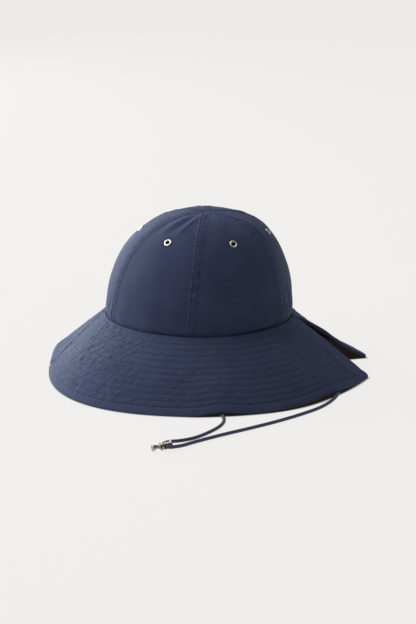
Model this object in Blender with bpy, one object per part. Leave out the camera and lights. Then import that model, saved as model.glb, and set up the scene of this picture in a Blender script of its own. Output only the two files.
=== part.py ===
"""A wide-brimmed cloth sun hat with a slit at the back of its brim, resting on a table.

Six crown panels with an eyelet each, a brim of two halves joined at the front, and a
round chin cord that runs under the brim and carries a sprung metal cord lock.
The hat faces -Y, its slit is at +Y, the wearer's left is +X, and its rim rests on z = 0.
Lengths are in metres.
"""
import bisect
import math

import bmesh
import bpy
import numpy as np
from mathutils import Matrix, Vector

# Crown: an oval at the brim seam, and a dome above it
CROWN_HALF_LENGTH = 0.0990
CROWN_HALF_WIDTH = 0.0871
CROWN_HEIGHT = 0.1066
CROWN_LEAN = 0.0075
CROWN_RISE_POWER = 2.19
CROWN_REACH_POWER = 2.62
CROWN_WALL = 0.0012
PANEL_COUNT = 6
SEAM_STAND = 0.0005
SEAM_GAP = 0.0003
CLEARANCE = 0.0003
CROWN_TIP_RADIUS = 0.0009

# Brim seam: its height over the table, how much lower it runs at the front and the back,
# and how far the crown's cloth goes down inside the brim
SEAM_HEIGHT = 0.0628
SEAM_FRONT_DROP = 0.0030
SEAM_FRONT_POWER = 3
SEAM_BACK_DROP = 0.0040
SEAM_BACK_POWER = 14
SEAM_TUCK = 0.0060

# Brim: how far it reaches past the crown's oval, and how square its outline is
BRIM_THICKNESS = 0.0024
BRIM_FRONT_OVERHANG = 0.0593
BRIM_SIDE_OVERHANG = 0.0604
BRIM_BACK_OVERHANG = 0.0905
BRIM_FRONT_POWER = 2.52
BRIM_BACK_POWER = 1.66
BRIM_CORNER_RADIUS = 0.0045
SLIT_HALF_WIDTH = 0.0306
SLIT_TOP_HALF_WIDTH = 0.0010

# Front seam of the brim: where it meets the rim, its soft ridge and the nick in the rim
FRONT_SEAM_SKEW = math.radians(8.0)
FRONT_RIDGE_HEIGHT = 0.0010
FRONT_RIDGE_HALF_WIDTH = 0.0120
FRONT_NICK_DEPTH = 0.0016
FRONT_NICK_HALF_WIDTH = 0.0040

# Bow of the brim: how far its slope bulges over a straight line, as a share of its height
BOW_COLUMNS = ("azimuth_deg", "bow_share")
BOW_ROWS = (
    (-150.0, 0.000),
    (-100.0, 0.000),
    (-82.0, 0.005),
    (-60.0, 0.060),
    (-30.0, 0.080),
    (0.0, 0.075),
    (45.0, 0.060),
    (70.0, 0.030),
    (88.0, 0.010),
    (95.0, -0.030),
    (115.0, -0.040),
    (135.0, -0.020),
    (180.0, 0.030),
    (210.0, 0.000),
)

# Places where the rim reaches further out than its plain outline: both back quarters and the front
SWELL_COLUMNS = ("azimuth_deg", "reach_share", "half_width_deg")
SWELL_ROWS = (
    (38.0, 0.041, 22.0),
    (142.0, 0.041, 22.0),
    (-94.0, 0.010, 14.0),
)

# Places where the rim lifts off the table: over the cord, between its two strands, and a wave
# beside the front seam. The heights are shares of the lift that clears the cord.
LIFT_COLUMNS = ("azimuth_deg", "height_share", "half_width_deg")
LIFT_ROWS = (
    (13.0, 1.0, 9.0),
    (38.0, 0.4, 16.0),
    (61.5, 1.0, 11.0),
    (-99.0, 1.2, 11.0),
)

# Eyelets: one in the middle of each panel
EYELET_DROP = 0.0195
EYELET_HOLE_RADIUS = 0.0020
EYELET_WALL = 0.0006
EYELET_FLANGE_WIDTH = 0.0014
EYELET_BACK_WIDTH = 0.0010
EYELET_FLANGE_HEIGHT = 0.0008
EYELET_BACK_HEIGHT = 0.0006
EYELET_SEAT = 0.00035
EYELET_STEPS = 12

# Chin cord and the two sewn tabs that hold its ends inside the crown
CORD_DIAMETER = 0.0034
CORD_REST_HEIGHT = CORD_DIAMETER / 2 + 0.0001
CORD_LIFT_ROOM = 0.0005
CORD_SPACING = 0.0100
CORD_TURN_SPACING = 0.0030
TAB_CLOTH = 0.0006
TAB_EDGE = 0.0026
TAB_HEIGHT = 0.0130
TAB_TOP_OVER_SEAM = 0.0020
TAB_BEVEL = 0.0010

# Cord lock: it lies on the table with the cord's turn through its cross hole
LOCK_PLACE = (0.2245, -0.0155)
LOCK_AZIMUTH = math.radians(120.0)
LOCK_BORE_RADIUS = 0.0028
LOCK_WALL = 0.0010
LOCK_BARREL_RADIUS = LOCK_BORE_RADIUS + LOCK_WALL
LOCK_FLANGE_RADIUS = LOCK_BARREL_RADIUS + 0.0005
LOCK_FLANGE_LENGTH = 0.0013
LOCK_FRONT_LAP = 0.0003
LOCK_BACK_WALL = 0.0009
LOCK_HOLE_ROOM = 0.0004
LOCK_TURN_RADIUS = LOCK_BARREL_RADIUS + 0.75 * CORD_DIAMETER
PLUNGER_RADIUS = LOCK_BORE_RADIUS - CLEARANCE
PLUNGER_TRAVEL = 0.0018
PLUNGER_END_WALL = 0.0010
PLUNGER_KNOB_LENGTH = 0.0067
PLUNGER_KNOB_RADIUS = 0.0032
PLUNGER_NECK_RADIUS = 0.0017
LOCK_STEPS = 20

# The knob's flare: how far from the neck, and how far from the neck's radius to the knob's
KNOB_COLUMNS = ("length_share", "flare_share")
KNOB_ROWS = (
    (0.00, 0.00),
    (0.25, 0.10),
    (0.60, 0.45),
    (0.88, 1.00),
    (0.96, 1.00),
    (1.00, 0.75),
)

# The cord's route from above, with its height, measured from the crown's centre on the table.
# It starts under the left tab, turns through the lock and ends under the right tab.
CORD_ROUTE_OUT = (
    (0.0850, 0.0030, 0.0270),
    (0.0915, 0.0085, 0.0095),
    (0.1030, 0.0155, 0.0022),
    (0.1180, 0.0230, CORD_REST_HEIGHT),
    (0.1320, 0.0295, CORD_REST_HEIGHT),
    (0.1440, 0.0340, CORD_REST_HEIGHT),
    (0.1560, 0.0363, CORD_REST_HEIGHT),
    (0.1694, 0.0334, CORD_REST_HEIGHT),
    (0.1878, 0.0217, CORD_REST_HEIGHT),
    (0.2003, 0.0098, 0.0019),
    (0.2092, -0.0025, 0.0028),
)
CORD_ROUTE_BACK = (
    (0.2212, 0.0008, 0.0034),
    (0.2105, 0.0105, 0.0022),
    (0.1916, 0.0347, CORD_REST_HEIGHT),
    (0.1749, 0.0595, CORD_REST_HEIGHT),
    (0.1569, 0.0849, CORD_REST_HEIGHT),
    (0.1358, 0.1107, CORD_REST_HEIGHT),
    (0.1159, 0.1306, CORD_REST_HEIGHT),
    (0.0957, 0.1428, CORD_REST_HEIGHT),
    (0.0780, 0.1480, CORD_REST_HEIGHT),
    (0.0600, 0.1450, CORD_REST_HEIGHT),
    (0.0400, 0.1310, CORD_REST_HEIGHT),
    (0.0180, 0.1070, CORD_REST_HEIGHT),
    (-0.0080, 0.0780, CORD_REST_HEIGHT),
    (-0.0340, 0.0500, CORD_REST_HEIGHT),
    (-0.0560, 0.0280, CORD_REST_HEIGHT),
    (-0.0715, 0.0135, 0.0050),
    (-0.0800, 0.0060, 0.0160),
    (-0.0832, 0.0018, 0.0320),
)

# Fineness of the sheets
PANEL_COLUMNS = 9
PANEL_ROWS = 11
BRIM_COLUMNS = 50
BRIM_ROWS = 8
STEP = 1e-4

FULL_TURN = 2 * math.pi
RIGHT_ANGLE = math.pi / 2
UP = Vector((0, 0, 1))

COLOURS = {
    "navy_cloth": ((0.040, 0.052, 0.105, 1), 0.75, 0.0),
    "navy_cord": ((0.020, 0.026, 0.055, 1), 0.80, 0.0),
    "silver_metal": ((0.62, 0.61, 0.60, 1), 0.30, 1.0),
}


def material(kind):
    """The material of one kind of stuff, made once."""
    if kind in bpy.data.materials:
        return bpy.data.materials[kind]
    made = bpy.data.materials.new(kind)
    made.use_nodes = True
    shader = made.node_tree.nodes["Principled BSDF"]
    colour, roughness, metallic = COLOURS[kind]
    shader.inputs["Base Color"].default_value = colour
    shader.inputs["Roughness"].default_value = roughness
    shader.inputs["Metallic"].default_value = metallic
    made.diffuse_color = colour
    return made


def add_object(name, mesh, kind, parent):
    """Link a mesh as a named object with its own copy of a material."""
    piece = bpy.data.objects.new(name, mesh)
    bpy.context.scene.collection.objects.link(piece)
    own = material(kind).copy()
    own.name = name + "_" + kind
    mesh.materials.append(own)
    piece.parent = parent
    return piece


def mesh_from(name, verts, faces, sharp_angle=40.0):
    """A closed mesh with its faces turned outward and its round sides smooth."""
    bm = bmesh.new()
    made = [bm.verts.new(v) for v in verts]
    for face in faces:
        bm.faces.new([made[i] for i in face])
    bmesh.ops.recalc_face_normals(bm, faces=bm.faces[:])
    mesh = bpy.data.meshes.new(name)
    bm.to_mesh(mesh)
    bm.free()
    mesh.shade_smooth()
    mesh.set_sharp_from_angle(angle=math.radians(sharp_angle))
    return mesh


def closed_sheet(name, outer, inner):
    """A sheet of cloth: two grids of points, one for each side, closed round their border."""
    rows = len(outer)
    columns = len(outer[0])
    verts = [p for row in outer for p in row] + [p for row in inner for p in row]

    def at(side, row, column):
        return side * rows * columns + row * columns + column

    faces = []
    for side in (0, 1):
        for row in range(rows - 1):
            for column in range(columns - 1):
                quad = [
                    at(side, row, column),
                    at(side, row, column + 1),
                    at(side, row + 1, column + 1),
                    at(side, row + 1, column),
                ]
                faces.append(quad if side == 0 else quad[::-1])
    border = [(0, c) for c in range(columns - 1)]
    border += [(r, columns - 1) for r in range(rows - 1)]
    border += [(rows - 1, c) for c in range(columns - 1, 0, -1)]
    border += [(r, 0) for r in range(rows - 1, 0, -1)]
    for here, there in zip(border, border[1:] + border[:1]):
        faces.append([at(0, *here), at(1, *here), at(1, *there), at(0, *there)])
    return mesh_from(name, verts, faces)


def turned(name, profile, steps, closed):
    """A round piece about its own Z axis, from (radius, height) points.

    A closed profile is a ring. An open one starts and ends on the axis.
    """
    verts = []
    rings = []
    for radius, height in profile:
        if radius == 0:
            rings.append([len(verts)] * steps)
            verts.append((0, 0, height))
            continue
        rings.append(list(range(len(verts), len(verts) + steps)))
        for step in range(steps):
            angle = FULL_TURN * step / steps
            verts.append((radius * math.cos(angle), radius * math.sin(angle), height))
    pairs = list(zip(rings, rings[1:]))
    if closed:
        pairs.append((rings[-1], rings[0]))
    faces = []
    for low, high in pairs:
        for step in range(steps):
            after = (step + 1) % steps
            corners = [low[step], low[after], high[after], high[step]]
            face = list(dict.fromkeys(corners))
            if len(face) > 2:
                faces.append(face)
    return mesh_from(name, verts, faces)


def cutter(name, mesh, parent):
    """A tool for a Boolean cut, kept out of the model."""
    tool = bpy.data.objects.new(name, mesh)
    bpy.context.scene.collection.objects.link(tool)
    tool.hide_render = True
    tool.display_type = "WIRE"
    tool.parent = parent
    return tool


def cut(piece, tool):
    """Cut a tool's shape out of a piece."""
    boolean = piece.modifiers.new("cut_" + tool.name, "BOOLEAN")
    boolean.operation = "DIFFERENCE"
    boolean.object = tool


def read_table(columns, rows, key):
    """One named column of a table."""
    return [row[columns.index(key)] for row in rows]


# Crown


def seam_level(azimuth):
    """Height of the brim seam, which runs lower at the front and the back."""
    back = math.sin(azimuth)
    if back < 0:
        return SEAM_HEIGHT - SEAM_FRONT_DROP * (-back) ** SEAM_FRONT_POWER
    return SEAM_HEIGHT - SEAM_BACK_DROP * back ** SEAM_BACK_POWER


def crown_surface(azimuth, climb):
    """Outer side of the crown. climb goes from 0 at the brim seam to 1 at the top."""
    angle = climb * RIGHT_ANGLE
    rise = math.sin(angle) ** (2 / CROWN_RISE_POWER)
    reach = max(math.cos(angle), 0.0) ** (2 / CROWN_REACH_POWER)
    stand = SEAM_STAND * math.cos(PANEL_COUNT * azimuth) * math.sin(angle)
    low = seam_level(azimuth)
    top = SEAM_HEIGHT + CROWN_HEIGHT
    return Vector((
        (CROWN_HALF_WIDTH + stand) * reach * math.cos(azimuth),
        (CROWN_HALF_LENGTH + stand) * reach * math.sin(azimuth) + CROWN_LEAN * rise ** 1.5,
        low + (top - low) * rise,
    ))


def crown_normal(azimuth, climb):
    """Outward normal of the crown."""
    climb = min(max(climb, 0.01), 0.985)
    along = crown_surface(azimuth + STEP, climb) - crown_surface(azimuth - STEP, climb)
    upward = crown_surface(azimuth, climb + STEP) - crown_surface(azimuth, climb - STEP)
    return along.cross(upward).normalized()


def climb_at_rise(rise):
    """The climb at which the crown is this high over the brim seam."""
    share = (rise / CROWN_HEIGHT) ** (CROWN_RISE_POWER / 2)
    return math.asin(share) / RIGHT_ANGLE


def tip_climb():
    """The climb at which the panels end, just beside the top of the crown."""
    share = (CROWN_TIP_RADIUS / CROWN_HALF_WIDTH) ** (CROWN_REACH_POWER / 2)
    return math.acos(share) / RIGHT_ANGLE


def panel_point(azimuth, climb):
    """Outer and inner point of a panel. A climb under 0 is the cloth tucked inside the brim."""
    outer = crown_surface(azimuth, max(climb, 0.0))
    normal = crown_normal(azimuth, climb)
    if climb <= 0:
        normal = Vector((normal.x, normal.y, 0)).normalized()
    if climb < 0:
        outer = outer - UP * SEAM_TUCK
    return outer, outer - normal * CROWN_WALL


def crown_panel(name, start, parent):
    """One of the crown's panels, from the seam at the azimuth start to the next seam."""
    width = FULL_TURN / PANEL_COUNT
    climbs = [-1.0] + [tip_climb() * row / PANEL_ROWS for row in range(PANEL_ROWS + 1)]
    outer = []
    inner = []
    for climb in climbs:
        level = max(climb, 0.0)
        speed = (crown_surface(start + STEP, level) - crown_surface(start - STEP, level)).length
        margin = SEAM_GAP / 2 * 2 * STEP / speed
        row = []
        for column in range(PANEL_COLUMNS + 1):
            share = column / PANEL_COLUMNS
            azimuth = start + margin + (width - 2 * margin) * share
            row.append(panel_point(azimuth, climb))
        outer.append([pair[0] for pair in row])
        inner.append([pair[1] for pair in row])
    return add_object(name, closed_sheet(name, outer, inner), "navy_cloth", parent)


def frame_on(place, normal):
    """A frame whose Z axis is a surface's normal."""
    return Matrix.Translation(place) @ UP.rotation_difference(normal).to_matrix().to_4x4()


def eyelet(name, azimuth, panel, parent):
    """A metal eyelet through the middle of a panel, with the hole that it sits in."""
    climb = climb_at_rise(CROWN_HEIGHT - EYELET_DROP)
    place = frame_on(crown_surface(azimuth, climb), crown_normal(azimuth, climb))
    back = -CROWN_WALL - EYELET_SEAT - 0.5 * CLEARANCE
    barrel = EYELET_HOLE_RADIUS + EYELET_WALL
    flange = barrel + EYELET_FLANGE_WIDTH
    profile = [
        (EYELET_HOLE_RADIUS, back - EYELET_BACK_HEIGHT),
        (barrel + EYELET_BACK_WIDTH, back - EYELET_BACK_HEIGHT),
        (barrel + EYELET_BACK_WIDTH, back),
        (barrel, back),
        (barrel, EYELET_SEAT),
        (flange, EYELET_SEAT),
        ((EYELET_HOLE_RADIUS + flange) / 2, EYELET_SEAT + EYELET_FLANGE_HEIGHT),
        (EYELET_HOLE_RADIUS, EYELET_SEAT + 0.5 * EYELET_FLANGE_HEIGHT),
    ]
    ring = add_object(name, turned(name, profile, EYELET_STEPS, True), "silver_metal", parent)
    ring.matrix_local = place
    depth = 4 * (CROWN_WALL + EYELET_BACK_HEIGHT)
    radius = barrel + CLEARANCE
    rod = [(0, -depth), (radius, -depth), (radius, depth), (0, depth)]
    tool = cutter(name + "_hole", turned(name + "_hole", rod, EYELET_STEPS, False), parent)
    tool.matrix_local = place
    cut(panel, tool)
    return ring


# Brim


def oval_point(azimuth, outward):
    """A point of the crown's oval in plan, pushed outward."""
    point = Vector((CROWN_HALF_WIDTH * math.cos(azimuth), CROWN_HALF_LENGTH * math.sin(azimuth), 0))
    normal = Vector((math.cos(azimuth) / CROWN_HALF_WIDTH, math.sin(azimuth) / CROWN_HALF_LENGTH, 0))
    return point + normal.normalized() * outward


def wrapped_degrees(azimuth, low):
    """An azimuth in degrees, in the full turn that starts at low."""
    return (math.degrees(azimuth) - low) % 360.0 + low


def bumps(azimuth, columns, rows, key):
    """The sum at an azimuth of a table's smooth bumps."""
    centres = read_table(columns, rows, "azimuth_deg")
    heights = read_table(columns, rows, key)
    half_widths = read_table(columns, rows, "half_width_deg")
    total = 0.0
    for centre, height, half_width in zip(centres, heights, half_widths):
        away = (wrapped_degrees(azimuth, centre - 180.0) - centre) / half_width
        total += height * math.exp(-away * away)
    return total


def rim_reach(azimuth):
    """Distance of the rim from the crown's centre in plan."""
    back = math.sin(azimuth) > 0
    overhang = BRIM_BACK_OVERHANG if back else BRIM_FRONT_OVERHANG
    power = BRIM_BACK_POWER if back else BRIM_FRONT_POWER
    side = abs(math.cos(azimuth)) / (CROWN_HALF_WIDTH + BRIM_SIDE_OVERHANG)
    length = abs(math.sin(azimuth)) / (CROWN_HALF_LENGTH + overhang)
    swell = bumps(azimuth, SWELL_COLUMNS, SWELL_ROWS, "reach_share")
    return (1 + swell) * (side ** power + length ** power) ** (-1 / power)


def slit_azimuth():
    """Half the angle that the slit takes out of the rim."""
    return math.atan2(SLIT_HALF_WIDTH, CROWN_HALF_LENGTH + BRIM_BACK_OVERHANG)


def brim_azimuths(around):
    """Azimuths of a line of the brim where it meets the crown and the rim.

    around goes from -1 at the slit's right edge, over 0 at the front seam, to 1 at its left edge.
    """
    top_slit = math.asin(SLIT_TOP_HALF_WIDTH / CROWN_HALF_LENGTH)
    at_crown = -RIGHT_ANGLE + around * (math.pi - top_slit)
    at_rim = -RIGHT_ANGLE + around * (math.pi - slit_azimuth())
    return at_crown, at_rim + FRONT_SEAM_SKEW * (1 - around * around)


def brim_bow(azimuth):
    """Bulge of the brim's slope at an azimuth, as a share of its height."""
    degrees = read_table(BOW_COLUMNS, BOW_ROWS, "azimuth_deg")
    shares = read_table(BOW_COLUMNS, BOW_ROWS, "bow_share")
    return float(np.interp(wrapped_degrees(azimuth, degrees[0]), degrees, shares))


def rim_lift(azimuth):
    """Height of the rim over the table."""
    over_cord = CORD_REST_HEIGHT + CORD_DIAMETER / 2 + CORD_LIFT_ROOM
    lift = over_cord * bumps(azimuth, LIFT_COLUMNS, LIFT_ROWS, "height_share")
    return lift if lift > STEP else 0.0


def corner_share(around):
    """How far out a line of the brim goes: 1, or a little less at the slit's round corners."""
    _, at_edge = brim_azimuths(1.0)
    run = (1 - abs(around)) * (math.pi - slit_azimuth()) * rim_reach(at_edge)
    if run >= BRIM_CORNER_RADIUS:
        return 1.0
    short = BRIM_CORNER_RADIUS - run
    cut_back = BRIM_CORNER_RADIUS - math.sqrt(BRIM_CORNER_RADIUS ** 2 - short ** 2)
    return 1.0 - cut_back / math.hypot(BRIM_BACK_OVERHANG, SEAM_HEIGHT)


def brim_surface(around, across):
    """Upper side of the brim. across goes from 0 at the crown to 1 at the rim."""
    at_crown, at_rim = brim_azimuths(around)
    inner = oval_point(at_crown, SEAM_GAP)
    nick = abs(around) * math.pi * rim_reach(at_rim) / FRONT_NICK_HALF_WIDTH
    reach = rim_reach(at_rim) - FRONT_NICK_DEPTH * math.exp(-nick * nick)
    outer = Vector((reach * math.cos(at_rim), reach * math.sin(at_rim), 0))
    point = inner.lerp(outer, across)
    low = rim_lift(at_rim)
    high = seam_level(at_crown)
    bulge = 4 * brim_bow(at_rim) * across * (1 - across)
    ridge = abs(around) * math.pi * point.length / FRONT_RIDGE_HALF_WIDTH
    point.z = low + (high - low) * (1 - across + bulge)
    point.z += FRONT_RIDGE_HEIGHT * math.exp(-ridge * ridge) * 4 * across * (1 - across)
    return point


def brim_underside(around, across):
    """Lower side of the brim. Its rim is cut level, so the cloth's edge lies flat on the table."""
    top = brim_surface(around, across)
    low = max(across - STEP, 0.0)
    high = min(across + STEP, 1.0)
    outward = (brim_surface(around, high) - brim_surface(around, low)).normalized()
    along = brim_surface(around + STEP, across) - brim_surface(around - STEP, across)
    normal = outward.cross(along).normalized()
    if normal.z < 0:
        normal = -normal
    if across == 0:
        return top - UP * (BRIM_THICKNESS / normal.z)
    under = top - normal * BRIM_THICKNESS
    level = rim_lift(brim_azimuths(around)[1])
    if under.z < level:
        under += outward * ((level - under.z) / outward.z)
    return under


def brim_half(name, side, parent):
    """The left (side 1) or right (side -1) half of the brim, from the front seam to the slit."""
    start = SEAM_GAP / 2 / (math.pi * CROWN_HALF_LENGTH)
    top = []
    bottom = []
    for row in range(BRIM_ROWS + 1):
        share = row / BRIM_ROWS
        top_row = []
        bottom_row = []
        for column in range(BRIM_COLUMNS + 1):
            around = side * (start + (1 - start) * column / BRIM_COLUMNS)
            across = share * corner_share(around)
            top_row.append(brim_surface(around, across))
            bottom_row.append(brim_underside(around, across))
        top.append(top_row)
        bottom.append(bottom_row)
    return add_object(name, closed_sheet(name, top, bottom), "navy_cloth", parent)


def brim_middle():
    """Y of the middle of the brim's length, from the crown's centre."""
    rim = []
    for column in range(-BRIM_COLUMNS, BRIM_COLUMNS + 1):
        around = column / BRIM_COLUMNS
        rim.append(brim_surface(around, corner_share(around)).y)
    return (min(rim) + max(rim)) / 2


# Chin cord


def tab_centre(side):
    """Centre of the sewn tab inside the crown over the left (1) or right (-1) ear."""
    x = CROWN_HALF_WIDTH - CROWN_WALL - CLEARANCE - CORD_DIAMETER / 2 - TAB_CLOTH
    z = SEAM_HEIGHT + TAB_TOP_OVER_SEAM - TAB_HEIGHT / 2
    return Vector((side * x, 0, z))


def cord_tab(name, side, parent):
    """A small folded tab of cloth that is sewn over one end of the cord."""
    mesh = bpy.data.meshes.new(name)
    bm = bmesh.new()
    thickness = CORD_DIAMETER + 2 * TAB_CLOTH
    size = Matrix.Diagonal((thickness, CORD_DIAMETER + 2 * TAB_EDGE, TAB_HEIGHT, 1))
    bmesh.ops.create_cube(bm, size=1, matrix=size)
    bmesh.ops.bevel(bm, geom=bm.edges[:], offset=TAB_BEVEL, segments=1, affect="EDGES")
    bm.to_mesh(mesh)
    bm.free()
    tab = add_object(name, mesh, "navy_cloth", parent)
    tab.location = tab_centre(side)
    return tab


def lock_frame():
    """Frame of the cord lock: Z runs from its knob to its blind end, X is the cord's way through."""
    along = Vector((math.cos(LOCK_AZIMUTH), math.sin(LOCK_AZIMUTH), 0))
    across = along.cross(UP)
    turn = Matrix((across, UP, along)).transposed()
    if turn.determinant() < 0:
        turn = Matrix((across, -UP, along)).transposed()
    return Matrix.Translation((*LOCK_PLACE, LOCK_FLANGE_RADIUS)) @ turn.to_4x4()


def cord_turn():
    """The cord's half turn through the lock, from the near strand to the far one."""
    frame = lock_frame()
    arc = []
    for degrees in range(-90, 91, 30):
        angle = math.radians(degrees)
        sideways = LOCK_TURN_RADIUS * math.sin(angle)
        forward = LOCK_TURN_RADIUS * (1 - math.cos(angle))
        arc.append(frame @ Vector((sideways, 0, forward)))
    return arc


def cord_ends():
    """The cord's two ends: a point in each tab's mouth and one straight below it."""
    ends = []
    for side in (1, -1):
        mouth = tab_centre(side) - UP * (TAB_HEIGHT / 2 + CLEARANCE)
        ends.append((mouth, mouth - UP * 3 * CORD_DIAMETER))
    return ends


def smooth_route(points, samples):
    """A smooth curve through the points (centripetal Catmull-Rom)."""
    points = [Vector(p) for p in points]
    first = points[0] * 2 - points[1]
    last = points[-1] * 2 - points[-2]
    padded = [first] + points + [last]
    curve = []
    for p0, p1, p2, p3 in zip(padded, padded[1:], padded[2:], padded[3:]):
        t0 = 0.0
        t1 = t0 + math.sqrt((p1 - p0).length)
        t2 = t1 + math.sqrt((p2 - p1).length)
        t3 = t2 + math.sqrt((p3 - p2).length)
        for step in range(samples):
            t = t1 + (t2 - t1) * step / samples
            a1 = p0.lerp(p1, (t - t0) / (t1 - t0))
            a2 = p1.lerp(p2, (t - t1) / (t2 - t1))
            a3 = p2.lerp(p3, (t - t2) / (t3 - t2))
            b1 = a1.lerp(a2, (t - t0) / (t2 - t0))
            b2 = a2.lerp(a3, (t - t1) / (t3 - t1))
            curve.append(b1.lerp(b2, (t - t1) / (t2 - t1)))
    curve.append(points[-1])
    return [Vector((p.x, p.y, max(p.z, CORD_REST_HEIGHT))) for p in curve]


def lengths_along(curve):
    """Running length at each point of a curve."""
    lengths = [0.0]
    for here, there in zip(curve, curve[1:]):
        lengths.append(lengths[-1] + (there - here).length)
    return lengths


def point_at(curve, lengths, length):
    """The point of a curve at a running length."""
    index = min(max(bisect.bisect_left(lengths, length), 1), len(curve) - 1)
    low = lengths[index - 1]
    share = (length - low) / (lengths[index] - low)
    return curve[index - 1].lerp(curve[index], share)


def cord_points():
    """The cord's centre line: wide steps where it runs free, short ones through the lock."""
    start, end = cord_ends()
    turn = cord_turn()
    route = [*start, *CORD_ROUTE_OUT, *turn, *CORD_ROUTE_BACK, end[1], end[0]]
    curve = smooth_route(route, 12)
    lengths = lengths_along(curve)
    centre = lock_frame().translation
    nearest = min(range(len(curve)), key=lambda i: (curve[i] - centre).length)
    margin = 3 * LOCK_TURN_RADIUS
    marks = [0.0, lengths[nearest] - margin, lengths[nearest] + margin, lengths[-1]]
    points = [curve[0]]
    spacings = (CORD_SPACING, CORD_TURN_SPACING, CORD_SPACING)
    for low, high, spacing in zip(marks, marks[1:], spacings):
        steps = max(1, round((high - low) / spacing))
        for step in range(1, steps + 1):
            points.append(point_at(curve, lengths, low + (high - low) * step / steps))
    return points


def chin_cord(name, parent):
    """The cord, as one round tube."""
    curve = bpy.data.curves.new(name, "CURVE")
    curve.dimensions = "3D"
    curve.bevel_depth = CORD_DIAMETER / 2
    curve.bevel_resolution = 2
    curve.use_fill_caps = True
    curve.twist_mode = "MINIMUM"
    points = cord_points()
    spline = curve.splines.new("POLY")
    spline.points.add(len(points) - 1)
    for target, point in zip(spline.points, points):
        target.co = (*point, 1)
    return add_object(name, curve, "navy_cord", parent)


# Cord lock


def stadium(name, low, high, half_height, half_depth):
    """A slot cutter along X: a rounded slot from low to high along Z."""
    ring = []
    for centre, start in ((high - half_height, 0.0), (low + half_height, math.pi)):
        for step in range(7):
            angle = start + math.pi * step / 6
            ring.append((half_height * math.cos(angle), centre + half_height * math.sin(angle)))
    count = len(ring)
    verts = [(x, y, z) for x in (-half_depth, half_depth) for y, z in ring]
    faces = [list(range(count)), list(range(2 * count - 1, count - 1, -1))]
    for index in range(count):
        after = (index + 1) % count
        faces.append([index, after, count + after, count + index])
    return mesh_from(name, verts, faces)


def cord_extent(sideways):
    """How far along the lock the cord's far side reaches, this far from the lock's axis."""
    forward = LOCK_TURN_RADIUS - math.sqrt(LOCK_TURN_RADIUS ** 2 - sideways ** 2)
    slope = math.sqrt(1 - (sideways / LOCK_TURN_RADIUS) ** 2)
    return forward + CORD_DIAMETER / 2 / slope + CLEARANCE


def slot_start():
    """Where the plunger's slot starts: pressed in, it still clears the cord."""
    return -CORD_DIAMETER / 2 - CLEARANCE - PLUNGER_TRAVEL


def stem_end():
    """The plunger's inner end."""
    return cord_extent(PLUNGER_RADIUS) + PLUNGER_END_WALL


def lock_barrel(name, parent):
    """The lock's barrel, open at the knob's end, with a rolled flange at each end."""
    front = slot_start() - LOCK_FRONT_LAP
    bore_end = stem_end() + PLUNGER_TRAVEL + CLEARANCE
    back = bore_end + LOCK_BACK_WALL
    edge = LOCK_FLANGE_LENGTH / 4
    profile = [
        (0, bore_end),
        (LOCK_BORE_RADIUS, bore_end),
        (LOCK_BORE_RADIUS, front),
        (LOCK_FLANGE_RADIUS - edge, front),
        (LOCK_FLANGE_RADIUS, front + edge),
        (LOCK_FLANGE_RADIUS, front + LOCK_FLANGE_LENGTH - edge),
        (LOCK_BARREL_RADIUS, front + LOCK_FLANGE_LENGTH + edge),
        (LOCK_BARREL_RADIUS, back - LOCK_FLANGE_LENGTH - edge),
        (LOCK_FLANGE_RADIUS, back - LOCK_FLANGE_LENGTH + edge),
        (LOCK_FLANGE_RADIUS, back - edge),
        (LOCK_FLANGE_RADIUS - edge, back),
        (0, back),
    ]
    barrel = add_object(name, turned(name, profile, LOCK_STEPS, False), "silver_metal", parent)
    barrel.matrix_local = lock_frame()
    low = -CORD_DIAMETER / 2 - CLEARANCE
    high = cord_extent(LOCK_BARREL_RADIUS)
    half_height = CORD_DIAMETER / 2 + CLEARANCE + LOCK_HOLE_ROOM
    mesh = stadium(name + "_hole", low, high, half_height, 2 * LOCK_FLANGE_RADIUS)
    tool = cutter(name + "_hole", mesh, parent)
    tool.matrix_local = lock_frame()
    cut(barrel, tool)
    return barrel


def lock_plunger(name, parent):
    """The plunger, with a flared knob. Its slot lets the cord by when it is pressed in."""
    neck = slot_start() - LOCK_FRONT_LAP - PLUNGER_TRAVEL - CLEARANCE
    profile = [(0, stem_end()), (PLUNGER_RADIUS, stem_end()), (PLUNGER_RADIUS, neck + CLEARANCE)]
    flare = PLUNGER_KNOB_RADIUS - PLUNGER_NECK_RADIUS
    for length_share, flare_share in KNOB_ROWS:
        radius = PLUNGER_NECK_RADIUS + flare * flare_share
        profile.append((radius, neck - PLUNGER_KNOB_LENGTH * length_share))
    profile.append((0, neck - PLUNGER_KNOB_LENGTH))
    plunger = add_object(name, turned(name, profile, LOCK_STEPS, False), "silver_metal", parent)
    plunger.matrix_local = lock_frame()
    half_height = CORD_DIAMETER / 2 + CLEARANCE
    high = cord_extent(PLUNGER_RADIUS)
    mesh = stadium(name + "_slot", slot_start(), high, half_height, 2 * PLUNGER_RADIUS)
    tool = cutter(name + "_slot", mesh, parent)
    tool.matrix_local = lock_frame()
    cut(plunger, tool)
    return plunger


# The whole hat


def build():
    """Make every piece of the hat."""
    for old in list(bpy.data.objects):
        bpy.data.objects.remove(old, do_unlink=True)
    hat = bpy.data.objects.new("hat", None)
    bpy.context.scene.collection.objects.link(hat)
    hat.location = (0, -brim_middle(), 0)
    width = FULL_TURN / PANEL_COUNT
    for index in range(PANEL_COUNT):
        panel = crown_panel(f"crown_panel_{index + 1}", index * width, hat)
        eyelet(f"eyelet_{index + 1}", (index + 0.5) * width, panel, hat)
    brim_half("brim_left", 1, hat)
    brim_half("brim_right", -1, hat)
    cord_tab("cord_tab_left", 1, hat)
    cord_tab("cord_tab_right", -1, hat)
    chin_cord("chin_cord", hat)
    lock_barrel("lock_barrel", hat)
    lock_plunger("lock_plunger", hat)


build()
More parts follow.
